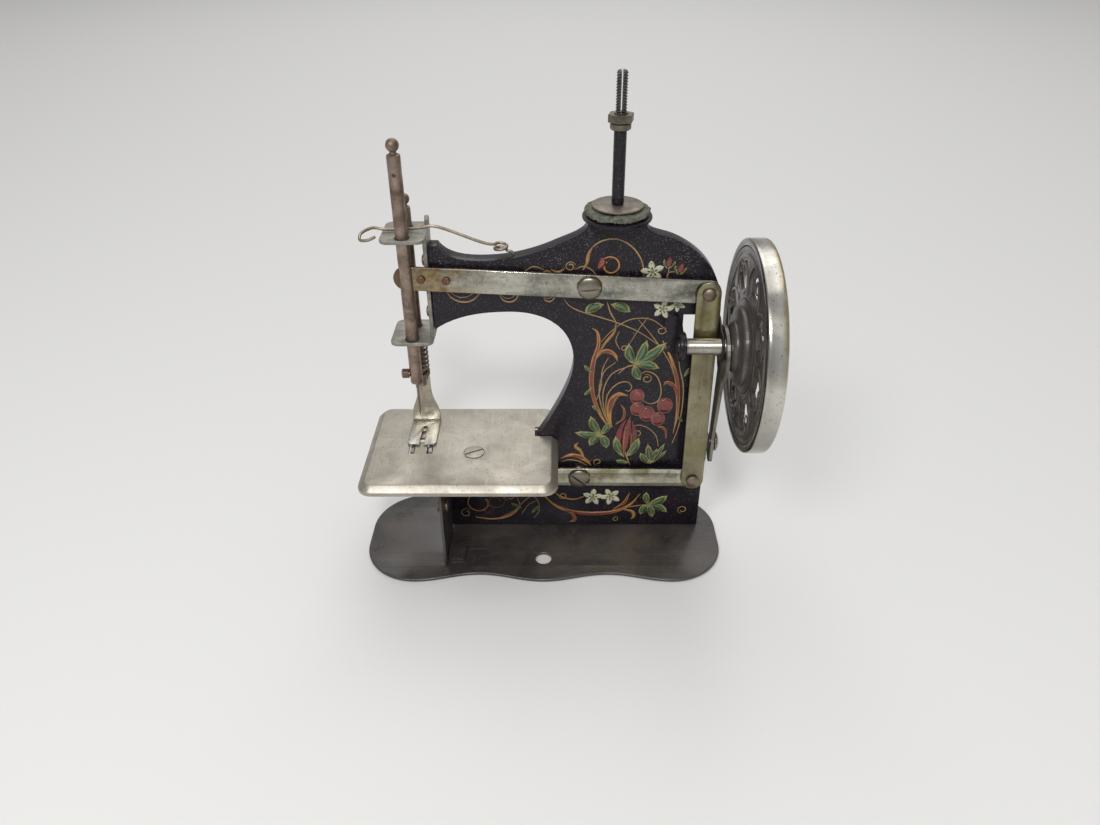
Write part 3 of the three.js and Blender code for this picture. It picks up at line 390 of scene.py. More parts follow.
def wear_group():
    """Clouds of tarnish, small spots, long scratches and fine grain, all from the piece's own place."""
    group = bpy.data.node_groups.new("wear", "ShaderNodeTree")
    for in_out, label, kind in (
        ("INPUT", "Vector", "Vector"), ("INPUT", "Cloud size", "Float"), ("INPUT", "Spot size", "Float"),
        ("INPUT", "Scratch stretch", "Vector"), ("OUTPUT", "Cloud", "Float"), ("OUTPUT", "Spots", "Float"),
        ("OUTPUT", "Scratches", "Float"), ("OUTPUT", "Grain", "Float"),
    ):
        group.interface.new_socket(label, in_out=in_out, socket_type="NodeSocket" + kind)
    given, made = group.nodes.new("NodeGroupInput").outputs, group.nodes.new("NodeGroupOutput").inputs
    place = given["Vector"]
    cloud = node(
        group, "ShaderNodeTexNoise",
        Vector=place, Scale=given["Cloud size"], Detail=6.0, Roughness=0.62, Distortion=0.4,
    )
    feed(group, ranged(group, cloud.outputs["Fac"], 0.36, 0.68), made["Cloud"])
    spots = node(
        group, "ShaderNodeTexVoronoi", feature="F1", Vector=place, Scale=given["Spot size"], Randomness=1.0
    )
    which = node(group, "ShaderNodeSeparateColor", Color=spots.outputs["Color"])
    rare = ranged(group, which.outputs[0], 0.62, 0.9)
    near = ranged(group, spots.outputs["Distance"], 0.42, 0.12)
    feed(group, maths(group, "MULTIPLY", near, rare, True), made["Spots"])
    stretch = node(group, "ShaderNodeVectorMath", operation="MULTIPLY")
    feed(group, place, stretch.inputs[0])
    feed(group, given["Scratch stretch"], stretch.inputs[1])
    scratch = node(
        group, "ShaderNodeTexNoise", Vector=stretch.outputs[0], Scale=1.0, Detail=3.0, Roughness=0.7
    )
    feed(group, ranged(group, scratch.outputs["Fac"], 0.58, 0.76), made["Scratches"])
    grain = node(group, "ShaderNodeTexNoise", Vector=place, Scale=3200.0, Detail=2.0)
    feed(group, grain.outputs["Fac"], made["Grain"])
    return group


WEAR = wear_group()


class Finish:
    """One material: its colour is built up in coats, each laid over the last where its mask is."""

    def __init__(self, name, cloud, spot, grain=ALONG_X, **constants):
        self.material = bpy.data.materials.new(name)
        self.material.use_nodes = True
        self.tree = self.material.node_tree
        self.shader = self.tree.nodes["Principled BSDF"]
        self.place = node(self.tree, "ShaderNodeTexCoord").outputs["Object"]
        self.wear = node(
            self.tree, "ShaderNodeGroup", node_tree=WEAR, Vector=self.place,
            Cloud_size=cloud, Spot_size=spot, Scratch_stretch=grain,
        )
        for label, value in constants.items():
            self.shader.inputs[label.replace("_", " ")].default_value = value

    def __getitem__(self, label):
        return self.wear.outputs[label]

    def noise(self, scale, low, high, detail=4.0, stretch=(1, 1, 1), shift=(0, 0, 0)):
        source = self.place
        if stretch != (1, 1, 1) or shift != (0, 0, 0):
            source = node(
                self.tree, "ShaderNodeMapping", Vector=source, Scale=stretch, Location=shift
            ).outputs[0]
        n = node(self.tree, "ShaderNodeTexNoise", Vector=source, Scale=scale, Detail=detail, Roughness=0.6)
        return ranged(self.tree, n.outputs["Fac"], low, high)

    def fade(self, axis, low, high, *to):
        """A mask that rises from one place along an axis to another."""
        s = node(self.tree, "ShaderNodeSeparateXYZ", Vector=self.place)
        return ranged(self.tree, s.outputs["XYZ".index(axis)], low, high, *to)

    def times(self, *masks):
        total = masks[0]
        for mask in masks[1:]:
            total = maths(self.tree, "MULTIPLY", total, mask)
        return total

    def mix(self, mask, a, b):
        return mixed(self.tree, mask, a, b)

    def coat(self, mask, amount, colour):
        self.base = self.mix(self.times(mask, amount), self.base, colour)

    def done(self, source, rough, *bumps, distance, strength):
        """Wires the colour, the roughness and a bump summed from (mask, weight) pairs."""
        total = None
        for mask, weight in bumps:
            part = self.times(mask, weight)
            total = part if total is None else maths(self.tree, "ADD", total, part)
        bump = node(self.tree, "ShaderNodeBump", Strength=strength, Distance=distance, Height=total)
        for value, label in (
            (self.base, "Base Color"), (ranged(self.tree, self[source], 0, 1, *rough), "Roughness"),
            (bump.outputs[0], "Normal"),
        ):
            feed(self.tree, value, self.shader.inputs[label])
        return self


def black_enamel(name, brown=0.22, speckle=1.0):
    """Stoved black enamel: deep, glossy, faintly purple, with dust specks and browned patches."""
    f = Finish(name, 60, 1250, IOR=1.45, Specular_IOR_Level=0.32, Coat_Weight=0.12, Coat_Roughness=0.1)
    f.base = f.mix(f.times(f["Cloud"], 0.6), (0.0065, 0.0045, 0.0075), (0.017, 0.0118, 0.0202))
    f.coat(f.noise(160, 0.62, 0.8), brown, (0.075, 0.047, 0.03))
    lint = ranged(f.tree, f.noise(2300, 0.6, 0.7, 3), 0, 1, 0, speckle)
    dust = f.times(lint, f.noise(75, 0.3, 0.6), f.fade("Z", 0.105, 0.135, 0.35, 1.0))
    f.coat(dust, 0.62, (0.45, 0.43, 0.46))
    f.coat(f["Spots"], 0.3 * speckle, (0.22, 0.19, 0.25))
    bumps = (f["Cloud"], 0.5), (lint, 0.5), (f["Grain"], 0.3)
    return f.done("Cloud", (0.26, 0.48), *bumps, distance=0.00006, strength=0.4)


def worn_enamel(name):
    """The base's enamel, dulled and rubbed to brown in patches."""
    f = Finish(name, 45, 620, IOR=1.5, Coat_Weight=0.3, Coat_Roughness=0.2)
    f.base = f.mix(f["Cloud"], (0.036, 0.031, 0.030), (0.078, 0.068, 0.063))
    patch = f.noise(38, 0.54, 0.74, 8)
    f.coat(patch, 0.6, (0.115, 0.08, 0.055))
    f.coat(f["Scratches"], 0.3, (0.2, 0.17, 0.14))
    f.coat(f["Spots"], 0.22, (0.2, 0.17, 0.14))
    bumps = (f["Cloud"], 0.8), (patch, 0.5), (f["Grain"], 0.2)
    return f.done("Cloud", (0.24, 0.44), *bumps, distance=0.0001, strength=0.4)


def nickel(name, light, dark, stain, amount, rough, grain=ALONG_X, metal=0.95, extra=None, cloud=70):
    """Nickel plate gone dull: clouds, dark pits, stains and fine rubbed lines."""
    f = Finish(name, cloud, 900, grain, Metallic=metal, IOR=1.8)
    f.base = f.mix(f["Cloud"], light, dark)
    f.coat(f.noise(210, 0.5, 0.72, 8), amount, stain)
    f.coat(f["Spots"], 0.55, (0.1, 0.085, 0.065))
    f.coat(f["Scratches"], 0.22, (0.8, 0.79, 0.74))
    if extra:
        extra(f)
    bumps = (f["Cloud"], 0.4), (f["Scratches"], 0.4), (f["Spots"], -0.6)
    return f.done("Cloud", rough, *bumps, distance=0.00004, strength=0.4)


def browned(name, light, dark, metal):
    """Bare steel or brass gone brown, rubbed lighter in fine lines."""
    f = Finish(name, 160, 1100, (900.0, 900.0, 70.0), Metallic=metal)
    f.base = f.mix(f["Cloud"], light, dark)
    f.coat(f["Scratches"], 0.3, (0.5, 0.42, 0.34))
    f.coat(f["Spots"], 0.5, (0.06, 0.035, 0.022))
    bumps = (f["Cloud"], 0.6), (f["Grain"], 0.3), (f["Spots"], -0.4)
    return f.done("Cloud", (0.36, 0.6), *bumps, distance=0.00005, strength=0.5)


def printed(name, tone, deep):
    """Printing ink on the enamel: slightly uneven, dusty and rubbed."""
    f = Finish("print_" + name, 240, 1700, Coat_Weight=0.4, Coat_Roughness=0.15)
    f.base = f.mix(f["Cloud"], tone, deep)
    f.coat(f.noise(420, 0.6, 0.76), 0.65, (0.03, 0.024, 0.028))
    f.coat(f["Spots"], 0.3, (0.5, 0.46, 0.42))
    return f.done("Cloud", (0.28, 0.44), (f["Grain"], 0.5), (f["Cloud"], 0.5), distance=0.00003, strength=0.3)


def rubbed_felt():
    """Felt, greenish grey and matted, with paler tufts."""
    f = Finish("grey_green_felt", 420, 2600)
    f.base = f.mix(f["Cloud"], (0.19, 0.195, 0.15), (0.075, 0.076, 0.058))
    f.coat(f["Spots"], 0.5, (0.32, 0.3, 0.24))
    return f.done("Grain", (0.85, 1.0), (f["Cloud"], 1.0), (f["Grain"], 0.8), distance=0.0004, strength=0.9)


def mottled_and_rusted(f):
    """Dark clouds where the plating has dulled, and yellowed rust towards the needle."""
    f.coat(f.noise(95, 0.46, 0.6, 9, (0.45, 1, 1), (0.3, 0.1, 0.2)), 0.78, (0.075, 0.08, 0.068))
    f.coat(f.noise(900, 0.52, 0.66, 3), 0.25, (0.62, 0.61, 0.55))
    brown = f.mix(f.noise(330, 0.4, 0.62, 6), (0.30, 0.24, 0.12), (0.17, 0.085, 0.035))
    f.coat(f.times(f.fade("X", -0.018, -0.036), f.noise(150, 0.32, 0.5, 6)), 0.85, brown)
    f.coat(f.fade("X", -0.0478, -0.0492), 0.9, (0.12, 0.075, 0.055))


def stained(f):
    """Patches of greenish and yellow stain."""
    f.coat(f.noise(60, 0.48, 0.6, 8, shift=(0.5, 0.3, 0)), 0.75, (0.225, 0.195, 0.09))
    f.coat(f.noise(240, 0.56, 0.66, 6), 0.5, (0.15, 0.115, 0.06))


def tyre_marks_and_shade(f):
    """The tyre: its inner side face is painted dark, its tread has a brassy streak, painted shade over its lower half
    broken up by noise, and is darker along its inner edge in its upper part.
    """
    # painted shade: the lower half of the tread is darkened, broken up by noise
    f.coat(f.times(f.fade("Z", 0.1, 0.07), f.noise(45, 0.3, 0.5, 6)), 0.9, (0.22, 0.205, 0.17))
    streak = f.times(
        f.fade("X", 0.0790, 0.0806), f.fade("X", 0.0818, 0.0810), f.fade("Z", 0.098, 0.112),
        f.noise(260, 0.25, 0.6, stretch=(1, 1, 0.25)),
    )
    f.coat(streak, 0.75, (0.40, 0.31, 0.13))
    # darker along the inner edge of the tread in its upper part
    f.coat(f.times(f.fade("X", 0.0785, 0.0760), f.fade("Z", 0.085, 0.105)), 0.45, (0.24, 0.225, 0.19))
    paint = f.mix(f["Cloud"], (0.13, 0.115, 0.108), (0.07, 0.062, 0.06))
    f.base = f.mix(f.fade("X", 0.0748, 0.07455), f.base, paint)


def darkened_axle_end(f):
    """The axle's end in its bearings is darkened."""
    f.coat(f.fade("X", 0.0532, 0.0524), 0.93, (0.035, 0.03, 0.028))


ENAMEL = black_enamel("black_enamel")
WORN = worn_enamel("worn_enamel")
SPINDLE_BLACK = black_enamel("spindle_enamel", 0.5, 0.5)
FELT = rubbed_felt()


def nickels(*rows):
    return [nickel(*row) for row in rows]


PLATE_NICKEL, STRAP_NICKEL, LEVER_NICKEL, LINK_NICKEL, BRIGHT_NICKEL, SCREW_NICKEL = nickels(
    ("plate_nickel", (0.44, 0.405, 0.345), (0.34, 0.31, 0.26), (0.27, 0.235, 0.18), 0.35, (0.36, 0.52), ALONG_Y, 0.75),
    (
        "strap_nickel", (0.60, 0.58, 0.47), (0.42, 0.4, 0.31), (0.36, 0.29, 0.18), 0.35, (0.2, 0.42),
        ALONG_X, 0.95, stained,
    ),
    (
        "lever_nickel", (0.44, 0.425, 0.37), (0.25, 0.245, 0.205), (0.34, 0.28, 0.18), 0.3, (0.16, 0.36),
        ALONG_X, 0.95, mottled_and_rusted,
    ),
    (
        "link_nickel", (0.34, 0.315, 0.21), (0.23, 0.205, 0.13), (0.24, 0.19, 0.11), 0.45, (0.26, 0.46),
        ALONG_Z, 0.95, stained,
    ),
    (
        "bright_nickel", (0.70, 0.685, 0.64), (0.52, 0.505, 0.46), (0.48, 0.40, 0.26), 0.3, (0.16, 0.34),
        AROUND_X, 0.95, tyre_marks_and_shade,
    ),
    ("screw_nickel", (0.30, 0.27, 0.22), (0.17, 0.15, 0.12), (0.2, 0.14, 0.085), 0.5, (0.26, 0.46)),
)
ROD_STEEL, GREY_SHEET, DARK_CAST, FOOT_LOOK, SHAFT_LOOK = nickels(
    ("rod_steel", (0.30, 0.285, 0.25), (0.18, 0.17, 0.145), (0.17, 0.13, 0.09), 0.4, (0.3, 0.5)),
    (
        "grey_sheet", (0.335, 0.32, 0.28), (0.2, 0.19, 0.165), (0.17, 0.135, 0.095), 0.5, (0.42, 0.62),
        ALONG_X, 0.6, None, 160,
    ),
    ("dark_cast", (0.16, 0.143, 0.134), (0.075, 0.066, 0.063), (0.1, 0.078, 0.06), 0.4, (0.32, 0.55), ALONG_X, 0.7),
    ("foot_nickel", (0.47, 0.45, 0.40), (0.34, 0.32, 0.275), (0.25, 0.2, 0.13), 0.3, (0.2, 0.38)),
    (
        "shaft_nickel", (0.44, 0.42, 0.37), (0.30, 0.28, 0.245), (0.26, 0.2, 0.12), 0.4, (0.26, 0.44),
        ALONG_X, 0.95, darkened_axle_end,
    ),
)
BROWN, BROWN_WIRE, RUSTY, BRASS, WASHER_STEEL, STUD = [
    browned(*row) for row in (
        ("brown_steel", (0.36, 0.275, 0.22), (0.16, 0.115, 0.09), 0.9),
        ("brown_wire", (0.38, 0.32, 0.25), (0.2, 0.155, 0.115), 0.9),
        ("rusty_rivets", (0.17, 0.09, 0.05), (0.09, 0.045, 0.025), 0.6),
        ("nut_brass", (0.235, 0.205, 0.155), (0.115, 0.1, 0.08), 0.85),
        ("washer_steel", (0.27, 0.235, 0.195), (0.14, 0.118, 0.098), 0.75),
        ("stud_steel", (0.2, 0.18, 0.17), (0.07, 0.06, 0.055), 0.9),
    )
]


def coated(obj, look):
    obj.data.materials.clear()
    obj.data.materials.append(look.material)


def finish(obj, look, body, slot, *replaced):
    coated(obj, look)
    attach(obj, body)
    if replaced:
        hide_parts(*replaced)
    return obj


def recoat(look, *nodes):
    """Gives a CAD piece that keeps its own shape its finish."""
    for name in nodes:
        coated(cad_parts[name], look)


# ---------------------------------------------------------------- camera, floor and light
def camera():
    data = bpy.data.cameras.new("camera")
    data.lens = 27.89
    data.sensor_width = 36.0
    obj = bpy.data.objects.new("camera", data)
    bpy.context.collection.objects.link(obj)
    obj.location = (0.00592, -0.28277, 0.24863)
    obj.rotation_euler = (math.radians(56.965), 0, math.radians(0.584))
    bpy.context.view_layer.update()
    obj.matrix_world = obj.matrix_world @ Matrix.Rotation(math.radians(-0.4), 4, "Z")
    bpy.context.scene.camera = obj


def soft_light(name, place, target, size, power):
    data = bpy.data.lights.new(name, "AREA")
    data.shape = "DISK"
    data.size = size
    data.energy = power
    obj = bpy.data.objects.new(name, data)
    bpy.context.collection.objects.link(obj)
    obj.location = place
    obj.rotation_euler = (Vector(target) - Vector(place)).to_track_quat("-Z", "Y").to_euler()


def studio():
    camera()
    deselect()
    bpy.ops.mesh.primitive_plane_add(size=8, location=(0, 1.5, -0.0002))
    floor = bpy.context.object
    floor.name = "floor"
    look = bpy.data.materials.new("pale_floor")
    look.use_nodes = True
    shader = look.node_tree.nodes["Principled BSDF"]
    shader.inputs["Roughness"].default_value = 0.9
    shader.inputs["Base Color"].default_value = (0.76, 0.755, 0.745, 1)
    floor.data.materials.append(look)
    soft_light("window_light", (-0.36, -0.62, 0.78), (0, 0, 0.07), 0.30, 2.5)
    soft_light("front_light", (0.0, -0.70, 0.76), (0, 0, 0.07), 0.15, 3.3)
    soft_light("roof_light", (0.1, 0.35, 1.3), (0, 0.05, 0), 1.1, 3.4)
    soft_light("backdrop_light", (0, 1.5, 1.5), (0, 1.3, 0), 1.6, 11)
    world = bpy.data.worlds.new("studio")
    world.use_nodes = True
    world.node_tree.nodes["Background"].inputs[0].default_value = (1, 0.995, 0.985, 1)
    world.node_tree.nodes["Background"].inputs[1].default_value = 0.36
    bpy.context.scene.world = world
    bpy.context.scene.view_settings.view_transform = "Standard"


studio()


# ---------------------------------------------------------------- base
def base_outline(corner=22.0, wave=4.0, steps=60):
    (_, x1), (y0, y1) = BASE[:2]
    half = x1 - corner

    def dip(x):
        return wave * math.sin(math.pi * x / half) ** 2

    front = [-half + 2 * half * i / steps for i in range(steps)]
    rear = [half - 2 * half * i / steps for i in range(1, steps)]
    return (
        [(x, y0 + dip(x)) for x in front]
        + arc(half, y0 + corner, corner, -90, 0, 20)
        + arc(half, y1 - corner, corner, 0, 90, 20)
        + [(x, y1 - dip(x)) for x in rear]
        + arc(-half, y1 - corner, corner, 90, 180, 20)
        + arc(-half, y0 + corner, corner, 180, 270, 20)[:-1]
    )


holes = [round_hole(0, side * 15.0, 3.3) for side in (-1, 1)]
tin_base = flat("tin_base", [base_outline(), *holes], "xy", 0, FOOT_Z, edge=0.55)
finish(tin_base, WORN, "frame", "worn_black", "base_plate")
recoat(WORN, "front_leg", "leg_foot")
recoat(BROWN, "looper", "looper_pin")
# the feed bar's dark cast finish is partly painted shade, so the plate's slots look dark
recoat(DARK_CAST, "feed_bar", "eccentric")
recoat(ROD_STEEL, "connecting_rod")


# ---------------------------------------------------------------- body shells
TIN = 0.8
PLATE_TIN = 0.9
UNDER_PLATE = PLATE_TOP - PLATE_TIN - GAP
LUG_HALF = 8
LUG_NOSE = 5.6
LUG_BORE = 3.35
WINDOW = (53.5, 62.3, AXLE[2] - LUG_HALF, AXLE[2] + LUG_HALF)


def body_outline():
    """Round the body from its lower left: straight runs, and curves through two pulls to an end."""
    left, right, top, throat = -40.2, 67.2, FRONT[2][1], -40.6
    out = [(left, h(0.3)), (right, h(0.3)), (right, h(104))]
    for a, b, end, steps in (
        ((right, h(116)), (62, h(127)), (48.1, h(133)), 22),
        ((43, h(135.2)), (37.7, h(134.5)), (37.7, top), 12),
        ((17, top), None, None, 0),
        ((17, h(134.6)), (11, h(133.6)), (3.3, h(130)), 14),
        ((-4, h(127)), (-12, h(124.9)), (-22, h(124.9)), 22),
        ((-30, h(124.9)), (-35, h(126.6)), (-37.5, h(130.6)), 14),
        ((throat, h(130.6)), None, None, 0),
        ((throat, h(97)), None, None, 0),
        ((-33, h(102.4)), (-24, h(104.4)), (-11.7, h(104.4)), 22),
        ((0, h(104.4)), (12.3, h(99)), (12.3, h(83)), 28),
        ((12.3, h(74)), (5.5, h(60)), (-2.6, UNDER_PLATE), 22),
        ((left, UNDER_PLATE), None, None, 0),
    ):
        out += bezier(out[-1], a, b, end, steps) if steps else [a]
    return out


def moved_in(points, by):
    """The same outline drawn a little inside itself."""
    out = []
    for i, point in enumerate(points):
        p, a, b = Vector(point), Vector(points[i - 1]), Vector(points[(i + 1) % len(points)])
        e, f = (p - a).normalized(), (b - p).normalized()
        m = Vector((-e.y - f.y, e.x + f.x))
        out.append(tuple(p + m / max(m.length_squared / 2, 0.35) * by))
    return out


def filled(name, points):
    """A closed outline filled with one face, left open for editing with that face selected."""
    obj = drawn(name, [points], True, {"dimensions": "3D"})
    edit(obj)
    bpy.ops.mesh.edge_face_add()
    return obj


def front_shell():
    """A tin pressing: its face is one sheet and its edge is folded back all round."""
    obj = filled("tin_front", [(x, FACE, z) for x, z in body_outline()])
    bpy.ops.mesh.extrude_region_move(TRANSFORM_OT_translate={"value": (0, (FACE_BACK - FACE) * MM, 0)})
    bpy.ops.mesh.delete(type="ONLY_FACE")
    bpy.ops.mesh.select_all(action="SELECT")
    bpy.ops.mesh.normals_make_consistent(inside=False)
    close()
    if max(obj.data.polygons, key=lambda f: f.area).normal.y > 0:
        edit(obj)
        bpy.ops.mesh.flip_normals()
        close()
    modified(obj, "SOLIDIFY", thickness=TIN * MM, offset=-1, use_even_offset=True)
    bevelled(obj, 0.32, 3, 50)
    x0, x1, z0, z1 = WINDOW
    return carve(obj, block(x0, x1, FACE - 2, FACE_BACK + 2, z0, z1))


def lug_side():
    """A bearing lug seen along the axle."""
    y, z = AXLE[1], AXLE[2]
    low, high = z - LUG_HALF, z + LUG_HALF
    nose = [(y + 1, z + LUG_NOSE)] + arc(y, z, LUG_NOSE, 90, 270, 20)
    return [(FACE_BACK, low), (FACE_BACK, high), (FACE - 2, high)] + nose + [(FACE - 2, low)]


def left_lug(bend=4.0, thick=1.2, at=52.5):
    """A lug bent out of the tin at the window's edge, with a collar pressed in for the axle."""
    outer = bend + thick
    root = at - outer
    tip = AXLE[1] - LUG_NOSE
    section = (
        [(root - 0.5, FACE + 0.75), (root - 0.5, FACE - 0.02)]
        + arc(root, FACE - bend, bend, 90, 0, 12)
        + [(at - thick, tip), (at, tip)]
        + arc(root, FACE - bend, outer, 0, 90, 12)
    )
    obj = flat("bearing_lug_left", [section], "xy", *WINDOW[2:], edge=0.25)
    cut(obj, flat("side", [lug_side()], "yz", root - 2, at + 2, edge=0.01), "INTERSECT")
    bevelled(obj, 0.3, 2, 60)
    settle(obj)
    ring = steps_from(at, (LUG_BORE, -1.6), (5.2, -1.6), (5.4, -1.3), (5.4, 0.6), (5.1, 0.9), (LUG_BORE, 0.9))
    return joined("bearing_lug_left", obj, turned("lug_collar", ring, "x", AXLE, 48))


finish(front_shell(), ENAMEL, "frame", "black_litho", "body_front_shell")
finish(left_lug(), ENAMEL, "frame", "black_litho")
right_lug = flat("bearing_lug_right", [lug_side()], "yz", 66.4, 67.2, edge=0.18)
finish(right_lug, ENAMEL, "frame", "black_litho")
x0, x1, z0, z1 = WINDOW
back_outlines = [moved_in(body_outline(), 1.15), [(x0, z0), (x0, z1), (x1, z1), (x1, z0)]]
back = flat("tin_back", back_outlines, "xz", FACE_BACK - TIN, FACE_BACK, edge=0.15)
finish(back, ENAMEL, "frame", "black_litho", "body_back_shell")


# ---------------------------------------------------------------- cloth plate and its screw
SLOT_OUT = 3.6


def cloth_plate():
    x0, x1 = PLATE[0]
    low, top = PLATE[2]
    rise = 2.4
    obj = filled("cloth_tray", [(x, y, low) for x, y in rounded(*PLATE[0], *PLATE[1], 6.0, 10)])
    bpy.ops.mesh.normals_make_consistent(inside=False)
    close()
    if obj.data.polygons[0].normal.z < 0:
        edit(obj)
        bpy.ops.mesh.flip_normals()
    edit(obj)
    bpy.ops.mesh.extrude_region_move(TRANSFORM_OT_translate={"value": (0, 0, (top - low - rise) * MM)})
    bpy.ops.mesh.inset(thickness=2.6 * MM, depth=rise * MM)
    bpy.ops.mesh.select_mode(type="FACE")
    bpy.ops.mesh.select_all(action="DESELECT")
    close()
    for f in obj.data.polygons:
        f.select = abs(f.center.z - low * MM) < 1e-6
    bpy.ops.object.mode_set(mode="EDIT")
    bpy.ops.mesh.delete(type="ONLY_FACE")
    close()
    bevelled(obj, PLATE_TIN, 4, 28)
    modified(obj, "SOLIDIFY", thickness=PLATE_TIN * MM, offset=-1)
    under, over = top - 6, top + 2
    notch = block(-3.4, x1 + 5, FACE - 0.4, FACE_BACK + 0.4, low - 5, top + 5)
    needle_y = middle(NEEDLE_BAR[1])
    hole = turned("hole", [(0, under), (1.5, under), (1.5, over), (0, over)], "z", (BAR_X, needle_y, 0), 32)
    slots = [
        block(BAR_X + s * SLOT_OUT - 1.2, BAR_X + s * SLOT_OUT + 1.2, -6.35, 5.15, under, over) for s in (-1, 1)
    ]
    seat = steps_from(top, (0, -6), (1.8, -6), (1.8, -0.55), (4.3, -0.55), (4.3, 2), (0, 2))
    return carve(obj, notch, hole, *slots, turned("seat", seat, "z", PLATE_SCREW, 40))


finish(cloth_plate(), PLATE_NICKEL, "frame", "plate_nickel", "cloth_plate")


def slotted(obj, place, axis, length, width, low, high, turn):
    """Saws a screwdriver slot across a head at an angle."""
    deselect()
    tall = high - low
    size = {"z": (length, width, tall), "y": (length, tall, width), "x": (tall, length, width)}[axis]
    centre = Vector(place)
    centre["xyz".index(axis)] = middle((low, high))
    bpy.ops.mesh.primitive_cube_add(size=1, location=centre * MM, scale=[s * MM for s in size])
    saw = bpy.context.object
    bpy.ops.object.transform_apply(location=False, rotation=False, scale=True)
    saw.rotation_euler["xyz".index(axis)] = math.radians(turn)
    bpy.ops.object.transform_apply(location=True, rotation=True, scale=True)
    return carve(obj, saw)


plate_screw_steps = steps_from(
    PLATE_TOP, (0, -5.5), (1.5, -5.5), (1.5, -0.2), (3.8, -0.2), (4.0, 0), (3.95, 0.2), (2.6, 0.38), (0, 0.44)
)
plate_screw = turned("cloth_plate_screw_head", plate_screw_steps, "z", PLATE_SCREW, 48)
plate_screw = slotted(plate_screw, PLATE_SCREW, "z", 12, 0.95, PLATE_TOP - 0.1, PLATE_TOP + 2, 28)
finish(plate_screw, PLATE_NICKEL, "frame", "plate_nickel", "cloth_plate_screw")


# ---------------------------------------------------------------- head bracket
def head_bracket(sheet=1.4):
    """A wall behind the head with a lug folded out at each end, bored for the two bars."""
    right = -40.9
    half = sheet / 2
    lugs = []
    for n, height in enumerate((LUG_TOP, LUG_LOW)):
        bores = [round_hole(BAR_X, y, r) for y, r in ((middle(NEEDLE_BAR[1]), 2.7), (PRESSER_Y, 2.3))]
        outlines = [rounded(-57.1, right, -0.2, 19.8, 3.0), *bores]
        lugs.append(flat(f"lug{n}", outlines, "xy", height - half, height + half, edge=0.28))
    front, rear = FACE - sheet, FACE + 11
    horn = 1.6
    side = [(front, LUG_LOW - half), (rear, LUG_LOW - half)]
    side += arc(rear - horn, LUG_TOP + 2.9, horn, 0, 180, 14)
    side += [(rear - 2 * horn, LUG_TOP + 0.2), (front, LUG_TOP + 0.2)]
    wall = flat("wall", [side], "yz", right - sheet, right, edge=0.25)
    return joined("head_bracket_sheet", wall, *lugs)


finish(head_bracket(), GREY_SHEET, "frame", "grey_sheet", "head_bracket")


def domed(r, height, start, direction, steps=7):
    """The profile of a rivet or screw head standing on a short land."""
    land = height * 0.3
    out = [(r * 0.94, start), (r, start + direction * height * 0.08), (r, start + direction * land)]
    for i in range(1, steps):
        a = i / steps * math.pi / 2
        out.append((r * math.cos(a), start + direction * (land + (height - land) * math.sin(a))))
    out.append((0, start + direction * height))
    return out


def rivet(name, axis, place, shank, near, far, near_head, far_head):
    """Two domed heads (radius, height) on one shank: near and far are where the heads sit."""
    near_side = domed(*near_head, near, -1)[::-1]
    profile = near_side + [(shank, near), (shank, far)] + domed(*far_head, far, 1)
    return turned(name, profile, axis, place, 40)


for n, height in enumerate((h(103.5), h(124.1)), 1):
    place = (0, 9.3, height)
    piece = rivet(f"bracket_rivet_head_{n}", "x", place, 1.2, -42.6, -39.5, (2.2, 1.1), (1.9, 0.9))
    finish(piece, BROWN, "frame", "brown_steel", f"bracket_rivet_{n}")


# ---------------------------------------------------------------- the levers, the link and their pins
LEVER_Y = (NEEDLE_Y - 0.6, NEEDLE_Y + 0.6)
LINK_Y = (LEVER_Y[0] - 1.5, LEVER_Y[0] - GAP)
TILT = math.radians(3)
TOP_PIN = (TOP_PIVOT[0] + 43.7 * math.cos(TILT), h(116 - 43.7 * math.sin(TILT)))
NEEDLE_ARM = 66.8 / math.cos(TILT)
TOP_END = (-49.0, h(116 + NEEDLE_ARM * math.sin(TILT)))
LOW_TILT = math.radians(0.5)
LOW_ARM = 47.2 / math.cos(LOW_TILT)
LOW_PIN = (62.3, h(29 - LOW_ARM * math.sin(LOW_TILT)))
LOW_END = (LOW_PIVOT[0] - 49.5 * math.cos(LOW_TILT), LOW_PIVOT[1] + 49.5 * math.sin(LOW_TILT))


def guide_pin(distance):
    lean = math.atan2(TOP_END[1] - TOP_PIVOT[1], TOP_PIVOT[0] - TOP_END[0])
    return (TOP_END[0] + distance * math.cos(lean), TOP_END[1] - distance * math.sin(lean))


def strap(name, ends, width, holes, depth, look, body):
    """A strap with round ends and round holes (place, radius)."""
    outlines = [strip(*ends[0], *ends[1], width)] + [round_hole(*place, r) for place, r in holes]
    piece = flat(name + "_strap", outlines, "xz", *depth, edge=0.22)
    return finish(piece, look, body, "tarnished_nickel", body)


top_holes, low_holes = ((TOP_PIVOT, 2.0), (TOP_PIN, 1.8)), ((LOW_PIVOT, 2.0), (LOW_PIN, 2.2))
strap("needle_lever", (TOP_END, TOP_PIN), 9.2, top_holes, LEVER_Y, LEVER_NICKEL, "needle_lever")
for n, distance in enumerate((5.4, 14.6), 1):
    x, z = guide_pin(distance)
    sides = LEVER_Y[0] - GAP, LEVER_Y[1] + GAP
    pin = rivet(f"lever_rivet_head_{n}", "y", (x, 0, z), 0.9, *sides, (1.5, 0.7), (1.5, 0.6))
    finish(pin, RUSTY, "needle_lever", "brown_steel", f"lever_rivet_{n}")
strap("lower_lever", (LOW_END, LOW_PIN), 8.7, low_holes, LEVER_Y, STRAP_NICKEL, "lower_lever")
link = strap("link", (LOW_PIN, TOP_PIN), 9.0, ((TOP_PIN, 1.8), (LOW_PIN, 1.8)), LINK_Y, LINK_NICKEL, "vertical_link")

